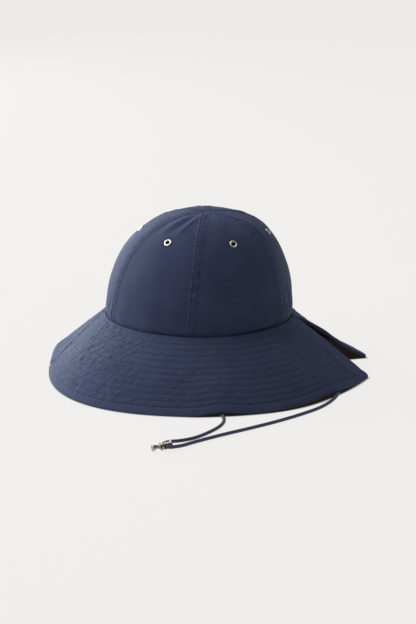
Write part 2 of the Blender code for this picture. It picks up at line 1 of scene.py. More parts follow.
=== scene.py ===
"""A navy cloth sun hat with a chin cord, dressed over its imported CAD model.

The crown's panels, the stitched brim, the eyelets, the braided cord and its lock are built in
mesh code in the frame of the CAD model. Lengths are in metres.
"""
import itertools
import math

import bmesh
import bpy
import numpy as np
from mathutils import Matrix, Vector


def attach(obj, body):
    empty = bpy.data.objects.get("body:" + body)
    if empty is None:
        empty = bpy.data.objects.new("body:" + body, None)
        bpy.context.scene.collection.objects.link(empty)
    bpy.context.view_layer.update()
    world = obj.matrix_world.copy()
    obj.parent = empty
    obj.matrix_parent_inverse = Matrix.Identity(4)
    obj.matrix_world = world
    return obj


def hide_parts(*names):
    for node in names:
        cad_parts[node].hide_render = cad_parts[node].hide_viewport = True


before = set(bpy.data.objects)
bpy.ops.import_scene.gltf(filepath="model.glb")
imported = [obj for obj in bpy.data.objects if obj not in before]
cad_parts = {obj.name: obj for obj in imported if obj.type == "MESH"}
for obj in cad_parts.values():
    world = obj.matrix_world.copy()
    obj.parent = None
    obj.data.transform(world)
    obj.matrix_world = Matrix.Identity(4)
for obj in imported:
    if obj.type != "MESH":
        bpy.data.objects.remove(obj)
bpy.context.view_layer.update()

FULL_TURN = 2 * math.pi
RIGHT_ANGLE = math.pi / 2
UP = np.array([0.0, 0.0, 1.0])
MM = 0.001

# The crown's centre is this far in front of the origin
MIDDLE = 0.0092718

# Crown, as in the solids
CROWN_HALF_LENGTH = 0.0990
CROWN_HALF_WIDTH = 0.0871
CROWN_HEIGHT = 0.1066
CROWN_LEAN = 0.0075
CROWN_RISE_POWER = 2.19
CROWN_REACH_POWER = 2.62
CROWN_TIP_RADIUS = 0.0009
CROWN_WALL = 0.0012
PANEL_COUNT = 6
SEAM_STAND = 0.0005
SEAM_HEIGHT = 0.0628
SEAM_FRONT_DROP = 0.0030
SEAM_FRONT_POWER = 3
SEAM_BACK_DROP = 0.0040
SEAM_BACK_POWER = 14
SEAM_TUCK = 0.0055
EYELET_DROP = 0.0195

# Brim, as in the solids
BRIM_THICKNESS = 0.0024
BRIM_FRONT_OVERHANG = 0.0593
BRIM_SIDE_OVERHANG = 0.0604
BRIM_BACK_OVERHANG = 0.0905
BRIM_FRONT_POWER = 2.52
BRIM_BACK_POWER = 1.66
BRIM_CORNER_RADIUS = 0.0045
FRONT_RIDGE_HEIGHT = 0.0010
FRONT_RIDGE_HALF_WIDTH = 0.0120
FRONT_NICK_DEPTH = 0.0016
FRONT_NICK_HALF_WIDTH = 0.0040
SLIT_HALF_WIDTH = 0.0306
SLIT_TOP_HALF_WIDTH = 0.0010
FRONT_SEAM_SKEW = math.radians(8.0)
BOW_ROWS = (
    (-150.0, 0.000), (-100.0, 0.000), (-82.0, 0.005), (-60.0, 0.060), (-30.0, 0.080),
    (0.0, 0.075), (45.0, 0.060), (70.0, 0.030), (88.0, 0.010), (95.0, -0.030),
    (115.0, -0.040), (135.0, -0.020), (180.0, 0.030), (210.0, 0.000),
)
SWELL_ROWS = ((38.0, 0.041, 22.0), (142.0, 0.041, 22.0), (-94.0, 0.010, 14.0))
LIFT_ROWS = ((13.0, 1.0, 9.0), (38.0, 0.4, 16.0), (61.5, 1.0, 11.0), (-99.0, 1.2, 11.0))

# Chin cord and its lock, as in the solids
CORD_DIAMETER = 0.0034
CORD_REST_HEIGHT = CORD_DIAMETER / 2 + 0.0001
LIFT_OVER_CORD = CORD_REST_HEIGHT + CORD_DIAMETER / 2 + 0.0005
CLEARANCE = 0.0003
TAB_CLOTH = 0.0006
TAB_EDGE = 0.0026
TAB_HEIGHT = 0.0130
TAB_TOP_OVER_SEAM = 0.0020
LOCK_PLACE = (0.2245, -0.0155)
LOCK_AZIMUTH = math.radians(120.0)
LOCK_BORE_RADIUS = 0.0028
LOCK_BARREL_RADIUS = 0.0038
LOCK_FLANGE_RADIUS = 0.0043
LOCK_TURN_RADIUS = LOCK_BARREL_RADIUS + 0.75 * CORD_DIAMETER
PLUNGER_TRAVEL = 0.0018
# Places along the cord from the left tab to its lock, and back to the right tab.
# Where a place has no height, the cord rests there
CORD_ROUTE_OUT = (
    (0.0850, 0.0030, 0.0270), (0.0915, 0.0085, 0.0095), (0.1030, 0.0155, 0.0022),
    (0.1180, 0.0230), (0.1320, 0.0295), (0.1440, 0.0340), (0.1560, 0.0363), (0.1694, 0.0334),
    (0.1878, 0.0217), (0.2003, 0.0098, 0.0019), (0.2092, -0.0025, 0.0028),
)
CORD_ROUTE_BACK = (
    (0.2212, 0.0008, 0.0034), (0.2105, 0.0105, 0.0022), (0.1916, 0.0347), (0.1749, 0.0595),
    (0.1569, 0.0849), (0.1358, 0.1107), (0.1159, 0.1306), (0.0957, 0.1428), (0.0780, 0.1480),
    (0.0600, 0.1450), (0.0400, 0.1310), (0.0180, 0.1070), (-0.0080, 0.0780), (-0.0340, 0.0500),
    (-0.0560, 0.0280), (-0.0715, 0.0135, 0.0050), (-0.0800, 0.0060, 0.0160),
    (-0.0832, 0.0018, 0.0320),
)

# Camera
CAMERA_AZIMUTH = math.radians(94.2009)
CAMERA_ELEVATION = math.radians(19.3588)
CAMERA_DISTANCE = 1.6
CAMERA_TARGET = Vector((0, -MIDDLE, 0.060))
PIXELS_PER_METRE = 940.326
IMAGE_WIDTH = 416
IMAGE_HEIGHT = 624
TARGET_PIXEL = (198.8154, 310.5076)
SENSOR = 36.0

# Lights: name, place, size and power
LAMPS = (
    ("key", (-0.25, -1.66, 0.95), 2.4, 70.0),
    ("side", (-1.50, -1.26, 0.50), 0.9, 22.0),
    ("top", (-0.10, 0.10, 1.90), 1.4, 12.0),
    ("rear", (-0.90, 1.60, 0.70), 0.9, 1.0),
)
LAMP_TARGET = Vector((0, 0, 0.06))
WORLD_LIGHT = 0.12
WORLD_COLOUR = (0.95, 0.85, 0.78)
FLOOR_GLOW = 0.95
PALE = (0.862, 0.855, 0.838)
# Colour of the floor's painted shade beneath the hat
SHADE = (0.012, 0.009, 0.008)


# Helpers


def linked(name, data):
    """A new object in the scene, made of a mesh, a light or a camera."""
    made = bpy.data.objects.new(name, data)
    bpy.context.scene.collection.objects.link(made)
    return made


def add(name, mesh, body, material, replaced=()):
    """Link a mesh as a piece of the hat that rides on a body."""
    piece = linked(name, mesh)
    mesh.materials.append(material)
    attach(piece, body)
    if replaced:
        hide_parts(*replaced)
    return piece


def row_frame(points):
    """Points about the crown's centre, in the frame of the CAD model."""
    return np.asarray(points, float) - np.array([0.0, MIDDLE, 0.0])


def mesh_of(name, points, faces, coords=None, sharp=None, tone=None):
    """A smooth mesh from points in the row frame, with cloth coordinates in metres as its UVs.

    A second UV layer may hold a tone from -1 for painted shade in creases and grooves to 1 for painted
    highlights on ridges and hems.
    """
    mesh = bpy.data.meshes.new(name)
    mesh.from_pydata(np.asarray(points, float).tolist(), [], faces)
    corner = np.zeros(len(mesh.loops), dtype=np.int32)
    mesh.loops.foreach_get("vertex_index", corner)
    if tone is not None:
        tone = np.stack([tone, 0 * tone], -1)
    for title, values in (("cloth", coords), ("tone", tone)):
        if values is not None:
            layer = mesh.uv_layers.new(name=title)
            layer.data.foreach_set("uv", np.asarray(values, np.float32)[corner].ravel())
    mesh.shade_smooth()
    if sharp is not None:
        mesh.set_sharp_from_angle(angle=math.radians(sharp))
    mesh.update()
    return mesh


def unit(vectors):
    """Vectors scaled to length 1."""
    length = np.linalg.norm(vectors, axis=-1, keepdims=True)
    return vectors / np.maximum(length, 1e-12)


def smooth_step(value, low, high):
    """0 below low, 1 above high, smooth between."""
    share = np.clip((value - low) / (high - low), 0.0, 1.0)
    return share * share * (3 - 2 * share)


def bell(value, width):
    """1 at 0, falling off smoothly over the width."""
    return np.exp(-(value / width) ** 2)


GRADIENTS = unit(np.array([
    p for p in itertools.product((-1.0, 0.0, 1.0), repeat=3) if 0 < sum(abs(c) for c in p) < 3
]))
# Primes that mix a cell's coordinates, the seed and the mixture
CELL_PRIMES = (73856093, 19349663, 83492791)
SEED_PRIME = 7919
MIX_PRIME = 1274126177


def noise(points, size, seed):
    """Smooth noise from about -1 to 1, with bumps of that size."""
    place = np.asarray(points, float) / size
    cell = np.floor(place).astype(np.int64)
    inside = place - cell
    fade = inside ** 3 * (inside * (6 * inside - 15) + 10)
    total = np.zeros(place.shape[:-1])
    for corner in itertools.product((0, 1), repeat=3):
        at = (cell + np.array(corner)) * CELL_PRIMES
        mixed = at[..., 0] ^ at[..., 1] ^ at[..., 2] ^ seed * SEED_PRIME
        mixed = (mixed ^ (mixed >> 13)) * MIX_PRIME & 0x7FFFFFFF
        mixed = (mixed ^ (mixed >> 15)) % len(GRADIENTS)
        slope = ((inside - np.array(corner)) * GRADIENTS[mixed]).sum(-1)
        weight = np.where(corner, fade, 1 - fade)
        total += weight[..., 0] * weight[..., 1] * weight[..., 2] * slope
    return total * 1.6


def flat_noise(across, along, size, seed):
    """Noise over two coordinates of the cloth."""
    return noise(np.stack([across, along, 0 * across], -1), size, seed)


def run_along(points):
    """The distance of each point from the start of its line."""
    steps = np.linalg.norm(np.diff(points, axis=-2), axis=-1)
    return np.concatenate([np.zeros_like(steps[..., :1]), np.cumsum(steps, axis=-1)], axis=-1)


def values_at(marks, lengths, rows):
    """Rows of three values, read at marks along their lengths."""
    return np.stack([np.interp(marks, lengths, rows[:, k]) for k in range(3)], -1)


def ring_faces(rows, columns, flip=False):
    """Faces of a grid of points whose columns run round in rings."""
    index = np.arange(rows * columns).reshape(rows, columns)
    after = np.roll(index, -1, axis=1)
    corners = [index[:-1], index[1:], after[1:], after[:-1]]
    if flip:
        corners = [index[:-1], after[:-1], after[1:], index[1:]]
    return np.stack(corners, -1).reshape(-1, 4).tolist()


def face_outward(mesh):
    """Turn the faces of a closed mesh outward."""
    bm = bmesh.new()
    bm.from_mesh(mesh)
    bmesh.ops.recalc_face_normals(bm, faces=bm.faces[:])
    bm.to_mesh(mesh)
    bm.free()


def grid_normals(grid):
    """Normals of a grid of points, from its neighbours."""
    return unit(np.cross(np.gradient(grid, axis=1), np.gradient(grid, axis=0)))


def closed_sheet(name, top, bottom, coords, tone, row_step, column_step):
    """A closed sheet: a fine grid above and one with fewer points below, joined round the border.

    The lower grid is made of every row_step-th row and column_step-th column of its points.
    """
    kept = (slice(None, None, row_step), slice(None, None, column_step))
    low = bottom[kept]
    over = np.arange(top[..., 0].size).reshape(top.shape[:2])
    under = over.size + np.arange(low[..., 0].size).reshape(low.shape[:2])
    faces = []
    borders = []
    for index, turn in ((over, -1), (under, 1)):
        corners = [index[:-1, :-1], index[:-1, 1:], index[1:, 1:], index[1:, :-1]][::turn]
        faces += np.stack([c.ravel() for c in corners], -1).tolist()
        border = [index[0], index[1:, -1], index[-1, -2::-1], index[-2:0:-1, 0]]
        borders.append(np.concatenate(border).tolist())
    upper, lower = borders
    at = 0
    steps = [column_step] * (low.shape[1] - 1) + [row_step] * (low.shape[0] - 1)
    for index, step in enumerate(steps + steps):
        above = [upper[(at + k) % len(upper)] for k in range(step + 1)]
        faces.append(above + [lower[(index + 1) % len(lower)], lower[index]])
        at += step
    points = np.concatenate([top.reshape(-1, 3), low.reshape(-1, 3)])
    coords = np.concatenate([coords.reshape(-1, 2), coords[kept].reshape(-1, 2)])
    tone = np.concatenate([tone.ravel(), tone[kept].ravel()])
    return mesh_of(name, row_frame(points), faces, coords, 50, tone)


def lathe(name, profile, steps, matrix, closed, sharp=40):
    """A round piece about its own Z axis, from (radius, height) points, placed by a matrix."""
    verts = []
    rings = []
    for radius, height in profile:
        count = steps if radius else 1
        rings.append([len(verts) + step % count for step in range(steps)])
        for step in range(count):
            angle = FULL_TURN * step / steps
            verts.append((radius * math.cos(angle), radius * math.sin(angle), height))
    faces = []
    for low, high in zip(rings, rings[1:] + rings[:1] * closed):
        for step in range(steps):
            after = (step + 1) % steps
            face = list(dict.fromkeys([low[step], low[after], high[after], high[step]]))
            if len(face) > 2:
                faces.append(face)
    mesh = mesh_of(name, verts, faces)
    face_outward(mesh)
    mesh.transform(matrix)
    mesh.shade_smooth()
    mesh.set_sharp_from_angle(angle=math.radians(sharp))
    return mesh


def cut_out(piece, cutter_mesh):
    """Cut a shape out of a piece and keep the result in its mesh."""
    tool = linked("cutter", cutter_mesh)
    boolean = piece.modifiers.new("cut", "BOOLEAN")
    boolean.operation = "DIFFERENCE"
    boolean.solver = "EXACT"
    boolean.object = tool
    bpy.context.view_layer.update()
    graph = bpy.context.evaluated_depsgraph_get()
    result = bpy.data.meshes.new_from_object(piece.evaluated_get(graph))
    piece.modifiers.clear()
    old = piece.data
    result.name = old.name
    piece.data = result
    bpy.data.meshes.remove(old)
    bpy.data.objects.remove(tool)


# Materials


WEAVE_PITCH = 0.00042


def fill(tree, node, inputs):
    """Link or set a node's inputs, each given by its name or number."""
    for key, value in inputs.items():
        socket = node.inputs[key]
        if isinstance(value, bpy.types.NodeSocket):
            tree.links.new(value, socket)
        else:
            socket.default_value = (*value, 1.0) if socket.type == "RGBA" else value


def new_node(tree, kind, inputs, **settings):
    """A shader node with its settings and inputs."""
    made = tree.nodes.new("ShaderNode" + kind)
    for key, value in settings.items():
        setattr(made, key, value)
    fill(tree, made, inputs)
    return made


def new_material(name):
    """An empty material with its Principled shader."""
    made = bpy.data.materials.new(name)
    made.use_nodes = True
    tree = made.node_tree
    return made, tree, tree.nodes["Principled BSDF"]


def cloth_place(tree, layer="cloth"):
    """Coordinates of a UV layer."""
    return new_node(tree, "UVMap", {}, uv_map=layer).outputs["UV"]


def solid_place(tree):
    """Coordinates in the piece's own frame."""
    return new_node(tree, "TexCoord", {}).outputs["Object"]


def mix_colours(tree, factor, first, second):
    """Mix two colours by a factor socket."""
    inputs = {"Factor": factor, 6: first, 7: second}
    return new_node(tree, "Mix", inputs, data_type="RGBA").outputs[2]


def math_node(tree, kind, first, second):
    """A math node with two inputs, each a socket or a number."""
    return new_node(tree, "Math", {0: first, 1: second}, operation=kind).outputs[0]


def weighted(tree, first, first_weight, second, second_weight):
    """The sum of two sockets, each times its weight."""
    first = math_node(tree, "MULTIPLY", first, first_weight)
    return math_node(tree, "ADD", first, math_node(tree, "MULTIPLY", second, second_weight))


def noise_texture(tree, vector, scale, detail, roughness=0.5):
    """A noise texture's value."""
    inputs = {"Vector": vector, "Scale": scale, "Detail": detail, "Roughness": roughness}
    return new_node(tree, "TexNoise", inputs).outputs["Fac"]


def stretched_noise(tree, stretch, scale, detail):
    """A noise texture's value on the cloth, drawn out along one way."""
    inputs = {"Vector": cloth_place(tree), "Scale": (1.0, stretch, 1.0)}
    vector = new_node(tree, "Mapping", inputs).outputs["Vector"]
    return noise_texture(tree, vector, scale, detail, 0.6)


def map_range(tree, value, low, high, to_low=0.0, to_high=1.0):
    """Map a value from one range to another."""
    inputs = {"Value": value, "From Min": low, "From Max": high, "To Min": to_low, "To Max": to_high}
    return new_node(tree, "MapRange", inputs).outputs["Result"]


def add_bump(tree, shader, height, strength, distance):
    """Fine relief from a height socket."""
    inputs = {"Height": height, "Strength": strength, "Distance": distance}
    fill(tree, shader, {"Normal": new_node(tree, "Bump", inputs).outputs["Normal"]})


def cloth_material(name, dark, light):
    """Woven nylon: fine warp and weft, a little colour change, painted shade and highlights from its
    tone layer, and a soft sheen.
    """
    made, tree, shader = new_material(name)
    split = new_node(tree, "SeparateXYZ", {0: cloth_place(tree)})
    threads = []
    for axis in ("X", "Y"):
        turns = math_node(tree, "MULTIPLY", split.outputs[axis], FULL_TURN / WEAVE_PITCH)
        threads.append(math_node(tree, "SINE", turns, 0.0))
    woven = math_node(tree, "MULTIPLY", *threads)
    slub = stretched_noise(tree, 5.5, 110.0, 3.0)
    broad = noise_texture(tree, solid_place(tree), 28.0, 4.0, 0.55)
    fine = noise_texture(tree, solid_place(tree), 900.0, 2.0)
    tone = map_range(tree, weighted(tree, broad, 0.55, slub, 0.45), 0.32, 0.68)
    # The tone layer holds painted shade and highlights: it scales the cloth's colour from 0.25 to 1.75
    # times
    marks = new_node(tree, "SeparateXYZ", {0: cloth_place(tree, "tone")})
    painted_shading = map_range(tree, marks.outputs["X"], -1.0, 1.0, 0.25, 1.75)
    grain = math_node(tree, "MULTIPLY", map_range(tree, woven, -1.0, 1.0, 0.86, 1.10), painted_shading)
    inputs = {0: mix_colours(tree, tone, dark, light), "Scale": grain}
    fill(tree, shader, {
        "Base Color": new_node(tree, "VectorMath", inputs, operation="SCALE").outputs["Vector"],
        "Roughness": map_range(tree, fine, 0.3, 0.7, 0.68, 0.82),
        "Specular IOR Level": 0.16,
        "Specular Tint": (0.66, 0.84, 1.0),
        "Sheen Weight": 0.11,
        "Sheen Roughness": 0.5,
        "Sheen Tint": (0.60, 0.72, 1.0),
    })
    add_bump(tree, shader, weighted(tree, woven, 0.6, slub, 0.8), 0.5, 0.00004)
    return made


def thread_material(name, colour):
    """Sewing thread, a little darker than the cloth."""
    made, tree, shader = new_material(name)
    value = noise_texture(tree, solid_place(tree), 1500.0, 2.0)
    dark, light = (tuple(c * share for c in colour) for share in (0.75, 1.25))
    fill(tree, shader, {
        "Base Color": mix_colours(tree, value, dark, light),
        "Roughness": map_range(tree, value, 0.3, 0.7, 0.62, 0.78),
        "Specular IOR Level": 0.16,
    })
    return made


def cord_material(name, dark, light):
    """Braided cord with fine fibres along each strand."""
    made, tree, shader = new_material(name)
    fibre = stretched_noise(tree, 0.25, 4200.0, 2.0)
    broad = noise_texture(tree, solid_place(tree), 90.0, 2.0)
    tone = map_range(tree, weighted(tree, fibre, 0.6, broad, 0.4), 0.35, 0.65)
    fill(tree, shader, {
        "Base Color": mix_colours(tree, tone, dark, light),
        "Roughness": 0.55,
        "Sheen Weight": 0.3,
        "Sheen Roughness": 0.4,
    })
    add_bump(tree, shader, fibre, 0.5, 0.00005)
    return made


def metal_material(name, colour, low, high):
    """Plated metal with fine scuffs: its roughness and tone change a little."""
    made, tree, shader = new_material(name)
    scuff = noise_texture(tree, solid_place(tree), 700.0, 4.0, 0.65)
    broad = noise_texture(tree, solid_place(tree), 160.0, 2.0)
    dark = tuple(c * 0.78 for c in colour)
    fill(tree, shader, {
        "Base Color": mix_colours(tree, map_range(tree, broad, 0.35, 0.65), dark, colour),
        "Roughness": map_range(tree, scuff, 0.3, 0.7, low, high),
        "Metallic": 1.0,
    })
    add_bump(tree, shader, scuff, 0.25, 0.00002)
    return made


CROWN_CLOTH = cloth_material("navy_crown_cloth", (0.025, 0.032, 0.074), (0.040, 0.049, 0.106))
BRIM_CLOTH = cloth_material("navy_brim_cloth", (0.029, 0.038, 0.083), (0.046, 0.056, 0.118))
THREAD = thread_material("navy_thread", (0.022, 0.028, 0.064))
CORD = cord_material("navy_cord", (0.019, 0.027, 0.065), (0.042, 0.055, 0.125))
EYELET_METAL = metal_material("eyelet_metal", (0.62, 0.61, 0.59), 0.24, 0.42)
LOCK_METAL = metal_material("lock_metal", (0.46, 0.42, 0.39), 0.22, 0.40)


# Surfaces of the hat, about the crown's centre


def seam_level(azimuth):
    """Height of the brim seam."""
    back = np.sin(azimuth)
    front = SEAM_FRONT_DROP * np.maximum(-back, 0.0) ** SEAM_FRONT_POWER
    return SEAM_HEIGHT - front - SEAM_BACK_DROP * np.maximum(back, 0.0) ** SEAM_BACK_POWER


def crown_surface(azimuth, climb):
    """Outer side of the crown. climb goes from 0 at the brim seam to 1 at the top."""
    angle = climb * RIGHT_ANGLE
    rise = np.maximum(np.sin(angle), 0.0) ** (2 / CROWN_RISE_POWER)
    reach = np.maximum(np.cos(angle), 0.0) ** (2 / CROWN_REACH_POWER)
    stand = SEAM_STAND * np.cos(PANEL_COUNT * azimuth) * np.sin(angle)
    low = seam_level(azimuth)
    return np.stack(np.broadcast_arrays(
        (CROWN_HALF_WIDTH + stand) * reach * np.cos(azimuth),
        (CROWN_HALF_LENGTH + stand) * reach * np.sin(azimuth) + CROWN_LEAN * rise ** 1.5,
        low + (SEAM_HEIGHT + CROWN_HEIGHT - low) * rise,
    ), -1)


def oval_point(azimuth, outward):
    """A point of the crown's oval in plan, pushed outward."""
    x = np.cos(azimuth)
    y = np.sin(azimuth)
    point = np.stack([CROWN_HALF_WIDTH * x, CROWN_HALF_LENGTH * y, 0 * x], -1)
    normal = np.stack([x / CROWN_HALF_WIDTH, y / CROWN_HALF_LENGTH, 0 * x], -1)
    return point + unit(normal) * outward


def wrapped_degrees(azimuth, low):
    """An azimuth in degrees, in the full turn that starts at low."""
    return (np.degrees(azimuth) - low) % 360.0 + low


def bumps(azimuth, rows):
    """The sum at an azimuth of rows of (azimuth in degrees, height, half width in degrees)."""
    total = 0.0 * azimuth
    for centre, height, half_width in rows:
        total = total + height * bell(wrapped_degrees(azimuth, centre - 180.0) - centre, half_width)
    return total


def rim_reach(azimuth):
    """Distance of the rim from the crown's centre in plan."""
    back = np.sin(azimuth) > 0
    overhang = np.where(back, BRIM_BACK_OVERHANG, BRIM_FRONT_OVERHANG)
    power = np.where(back, BRIM_BACK_POWER, BRIM_FRONT_POWER)
    side = np.abs(np.cos(azimuth)) / (CROWN_HALF_WIDTH + BRIM_SIDE_OVERHANG)
    length = np.abs(np.sin(azimuth)) / (CROWN_HALF_LENGTH + overhang)
    return (1 + bumps(azimuth, SWELL_ROWS)) * (side ** power + length ** power) ** (-1 / power)


def rim_lift(azimuth):
    """Height of the rim over the table."""
    return LIFT_OVER_CORD * bumps(azimuth, LIFT_ROWS)


SLIT_AZIMUTH = math.atan2(SLIT_HALF_WIDTH, CROWN_HALF_LENGTH + BRIM_BACK_OVERHANG)
SLIT_TOP_AZIMUTH = math.asin(SLIT_TOP_HALF_WIDTH / CROWN_HALF_LENGTH)


def brim_azimuths(around):
    """Azimuths of a line of the brim where it meets the crown and the rim."""
    at_crown = -RIGHT_ANGLE + around * (math.pi - SLIT_TOP_AZIMUTH)
    at_rim = -RIGHT_ANGLE + around * (math.pi - SLIT_AZIMUTH)
    return at_crown, at_rim + FRONT_SEAM_SKEW * (1 - around * around)


def corner_share(around):
    """How far out a line of the brim goes: 1, or a little less at the slit's round corners."""
    at_edge = np.array(brim_azimuths(1.0)[1])
    run = (1 - np.abs(around)) * (math.pi - SLIT_AZIMUTH) * rim_reach(at_edge)
    short = np.clip(BRIM_CORNER_RADIUS - run, 0.0, BRIM_CORNER_RADIUS)
    cut_back = BRIM_CORNER_RADIUS - np.sqrt(BRIM_CORNER_RADIUS ** 2 - short ** 2)
    return 1.0 - cut_back / math.hypot(BRIM_BACK_OVERHANG, SEAM_HEIGHT)


def brim_middle_surface(around, across):
    """The middle of the brim's cloth. across goes from 0 at the crown to 1 at the rim."""
    half = BRIM_THICKNESS / 2
    at_crown, at_rim = brim_azimuths(around)
    inner = oval_point(at_crown, -0.2 * MM)
    run = np.abs(around) * math.pi
    nick = FRONT_NICK_DEPTH * bell(run * rim_reach(at_rim), FRONT_NICK_HALF_WIDTH)
    reach = rim_reach(at_rim) - nick - 0.3 * half
    outer = np.stack([reach * np.cos(at_rim), reach * np.sin(at_rim), 0 * at_rim], -1)
    point = inner + (outer - inner) * across[..., None]
    low = rim_lift(at_rim) + 0.3 * half
    high = seam_level(at_crown) - 1.4 * half
    degrees, shares = zip(*BOW_ROWS)
    bow = np.interp(wrapped_degrees(at_rim, degrees[0]), degrees, shares)
    point[..., 2] = low + (high - low) * (1 - across + 4 * bow * across * (1 - across))
    ridge = bell(run * np.linalg.norm(point, axis=-1), FRONT_RIDGE_HALF_WIDTH)
    point[..., 2] += FRONT_RIDGE_HEIGHT * ridge * 4 * across * (1 - across)
    return point


# Stitches


# A stitch's rings: place along its half length, and share of its radius
STITCH_RINGS = ((-1.0, 0.35), (-0.62, 1.0), (0.62, 1.0), (1.0, 0.35))
STITCH_SIDES = 5
STITCH_PITCH = 0.0027
STITCH_LENGTH = 0.0021
STITCH_RADIUS = 0.00020
STITCH_SINK = 0.00010


def stitch_mesh(name, centres, directions, normals):
    """Short lengths of thread lying on a surface, one at each centre."""
    along = unit(directions)
    up = unit(normals - along * (normals * along).sum(-1, keepdims=True))
    side = np.cross(along, up)
    centres = centres - up * STITCH_SINK
    points = []
    for reach, share in STITCH_RINGS:
        radius = STITCH_RADIUS * share
        for step in range(STITCH_SIDES):
            angle = FULL_TURN * step / STITCH_SIDES
            points.append(
                centres + along * (reach * STITCH_LENGTH / 2)
                + side * (radius * math.cos(angle)) + up * (radius * math.sin(angle))
            )
    points = np.stack(points, 1)
    count = len(STITCH_RINGS) * STITCH_SIDES
    sides = np.array(ring_faces(len(STITCH_RINGS), STITCH_SIDES, True))
    ends = np.array([list(range(STITCH_SIDES))[::-1], list(range(count - STITCH_SIDES, count))])
    starts = np.arange(len(centres))[:, None, None] * count
    faces = (starts + sides).reshape(-1, 4).tolist() + (starts + ends).reshape(-1, STITCH_SIDES).tolist()
    return mesh_of(name, row_frame(points.reshape(-1, 3)), faces)


def spaced_along(points, normals):
    """Places of the stitches along a line, with their directions and normals."""
    lengths = run_along(points)
    count = int((lengths[-1] - STITCH_PITCH) / STITCH_PITCH)
    marks = STITCH_PITCH * (0.5 + np.arange(max(count, 1)))
    ahead = values_at(marks + STITCH_PITCH / 4, lengths, points)
    behind = values_at(marks - STITCH_PITCH / 4, lengths, points)
    return values_at(marks, lengths, points), ahead - behind, values_at(marks, lengths, normals)


def add_stitches(name, runs):
    """All stitches of some lines as one piece."""
    centres, directions, normals = (np.concatenate(part) for part in zip(*runs))
    add(name, stitch_mesh(name, centres, directions, normals), "root", THREAD)


# Crown panels


# Soft folds of the crown along lines: azimuth in degrees and share of the height at the low end,
# the same at the high end, then height, which is negative for a groove, and half width in mm
CROWN_FOLD_ROWS = (
    (-26.0, 0.860, -16.0, 0.992, 0.75, 2.6),
    (-37.0, 0.850, -26.0, 0.990, -0.60, 2.8),
    (-45.0, 0.870, -38.0, 0.990, 0.60, 3.0),
    (30.0, 0.900, 20.0, 0.990, 0.45, 3.2),
    (43.0, 0.880, 36.0, 0.990, -0.45, 3.0),
    (52.5, 0.780, 50.0, 0.985, 0.90, 2.4),
    (70.0, 0.760, 71.0, 0.985, 0.90, 2.8),
    (64.0, 0.700, 66.0, 0.960, -0.60, 2.2),
    (66.0, 0.030, 69.0, 0.300, 0.85, 1.9),
    (73.0, 0.020, 71.5, 0.240, 0.75, 1.8),
    (79.0, 0.030, 76.0, 0.380, 0.90, 2.2),
    (88.0, 0.020, 86.0, 0.260, 0.70, 2.2),
    (-62.5, 0.010, -64.0, 0.160, 0.60, 1.8),
    (-72.0, 0.010, -70.0, 0.200, 0.60, 2.4),
    (112.0, 0.750, 114.0, 0.985, 0.80, 2.6),
    (131.0, 0.780, 128.0, 0.985, 0.75, 2.8),
    (152.0, 0.020, 149.0, 0.280, 0.70, 2.3),
    (-112.0, 0.780, -113.0, 0.985, 0.70, 2.8),
    (-131.0, 0.030, -128.0, 0.240, 0.70, 2.2),
    (-168.0, 0.820, -164.0, 0.988, 0.60, 2.8),
)
FOLD_STEPS = 40

CROWN_ROWS = 220
BAND_COLUMNS = 11
FIELD_COLUMNS = 42
TUCK_ROWS = 4
SEAM_BAND = 0.0044
SEAM_TOPSTITCH = 0.0027
HOLE_RADIUS = 0.0029
EYELET_SEAT = 0.00010
EYELET_HOLE_RADIUS = 0.0022
EYELET_FLANGE_RADIUS = 0.0040
EYELET_FLANGE_HEIGHT = 0.00070
# Radius of an eyelet's spread edge and its depth under the crown's inner side
EYELET_SPREAD = (
    (0.0026, 0.0005), (0.0036, 0.0006), (0.0036, 0.0009), (0.0030, 0.0013), (0.0022, 0.0012),
    (EYELET_HOLE_RADIUS, 0.0007),
)
PANEL_WIDTH = FULL_TURN / PANEL_COUNT
PANEL_LINE_STEPS = 720


def climb_at_rise(rise):
    """The climb at which the crown has that share of its height."""
    return math.asin(rise ** (CROWN_RISE_POWER / 2)) / RIGHT_ANGLE


EYELET_CLIMB = climb_at_rise((CROWN_HEIGHT - EYELET_DROP) / CROWN_HEIGHT)
TIP_CLIMB = math.acos((CROWN_TIP_RADIUS / CROWN_HALF_WIDTH) ** (CROWN_REACH_POWER / 2)) / RIGHT_ANGLE


def eyelet_place(index):
    """An eyelet's centre on the crown, and a frame there whose Z axis points outward."""
    azimuth = (index + 0.5) * PANEL_WIDTH
    climb = EYELET_CLIMB
    step = 1e-4
    place = crown_surface(azimuth, climb)
    along = crown_surface(azimuth + step, climb) - crown_surface(azimuth - step, climb)
    upward = crown_surface(azimuth, climb + step) - crown_surface(azimuth, climb - step)
    out = Vector(unit(np.cross(along, upward)))
    turn = Vector((0, 0, 1)).rotation_difference(out).to_matrix().to_4x4()
    return place, Matrix.Translation(Vector(row_frame(place))) @ turn


def crown_folds(points):
    """Soft folds pressed into the crown, each a ridge or a groove along a line."""
    relief = np.zeros(points.shape[:-1])
    steps = np.linspace(0.0, 1.0, FOLD_STEPS)
    for low_turn, low_rise, high_turn, high_rise, height, half_width in CROWN_FOLD_ROWS:
        low = climb_at_rise(low_rise)
        turns = np.radians(low_turn + (high_turn - low_turn) * steps)
        path = crown_surface(turns, low + (climb_at_rise(high_rise) - low) * steps)
        gaps = np.linalg.norm(points[..., None, :] - path, axis=-1)
        nearest = gaps.argmin(-1)
        fade = np.sin(math.pi * (0.02 + 0.96 * steps[nearest])) ** 0.8
        relief += height * MM * fade * bell(gaps.min(-1), half_width * MM)
    return relief


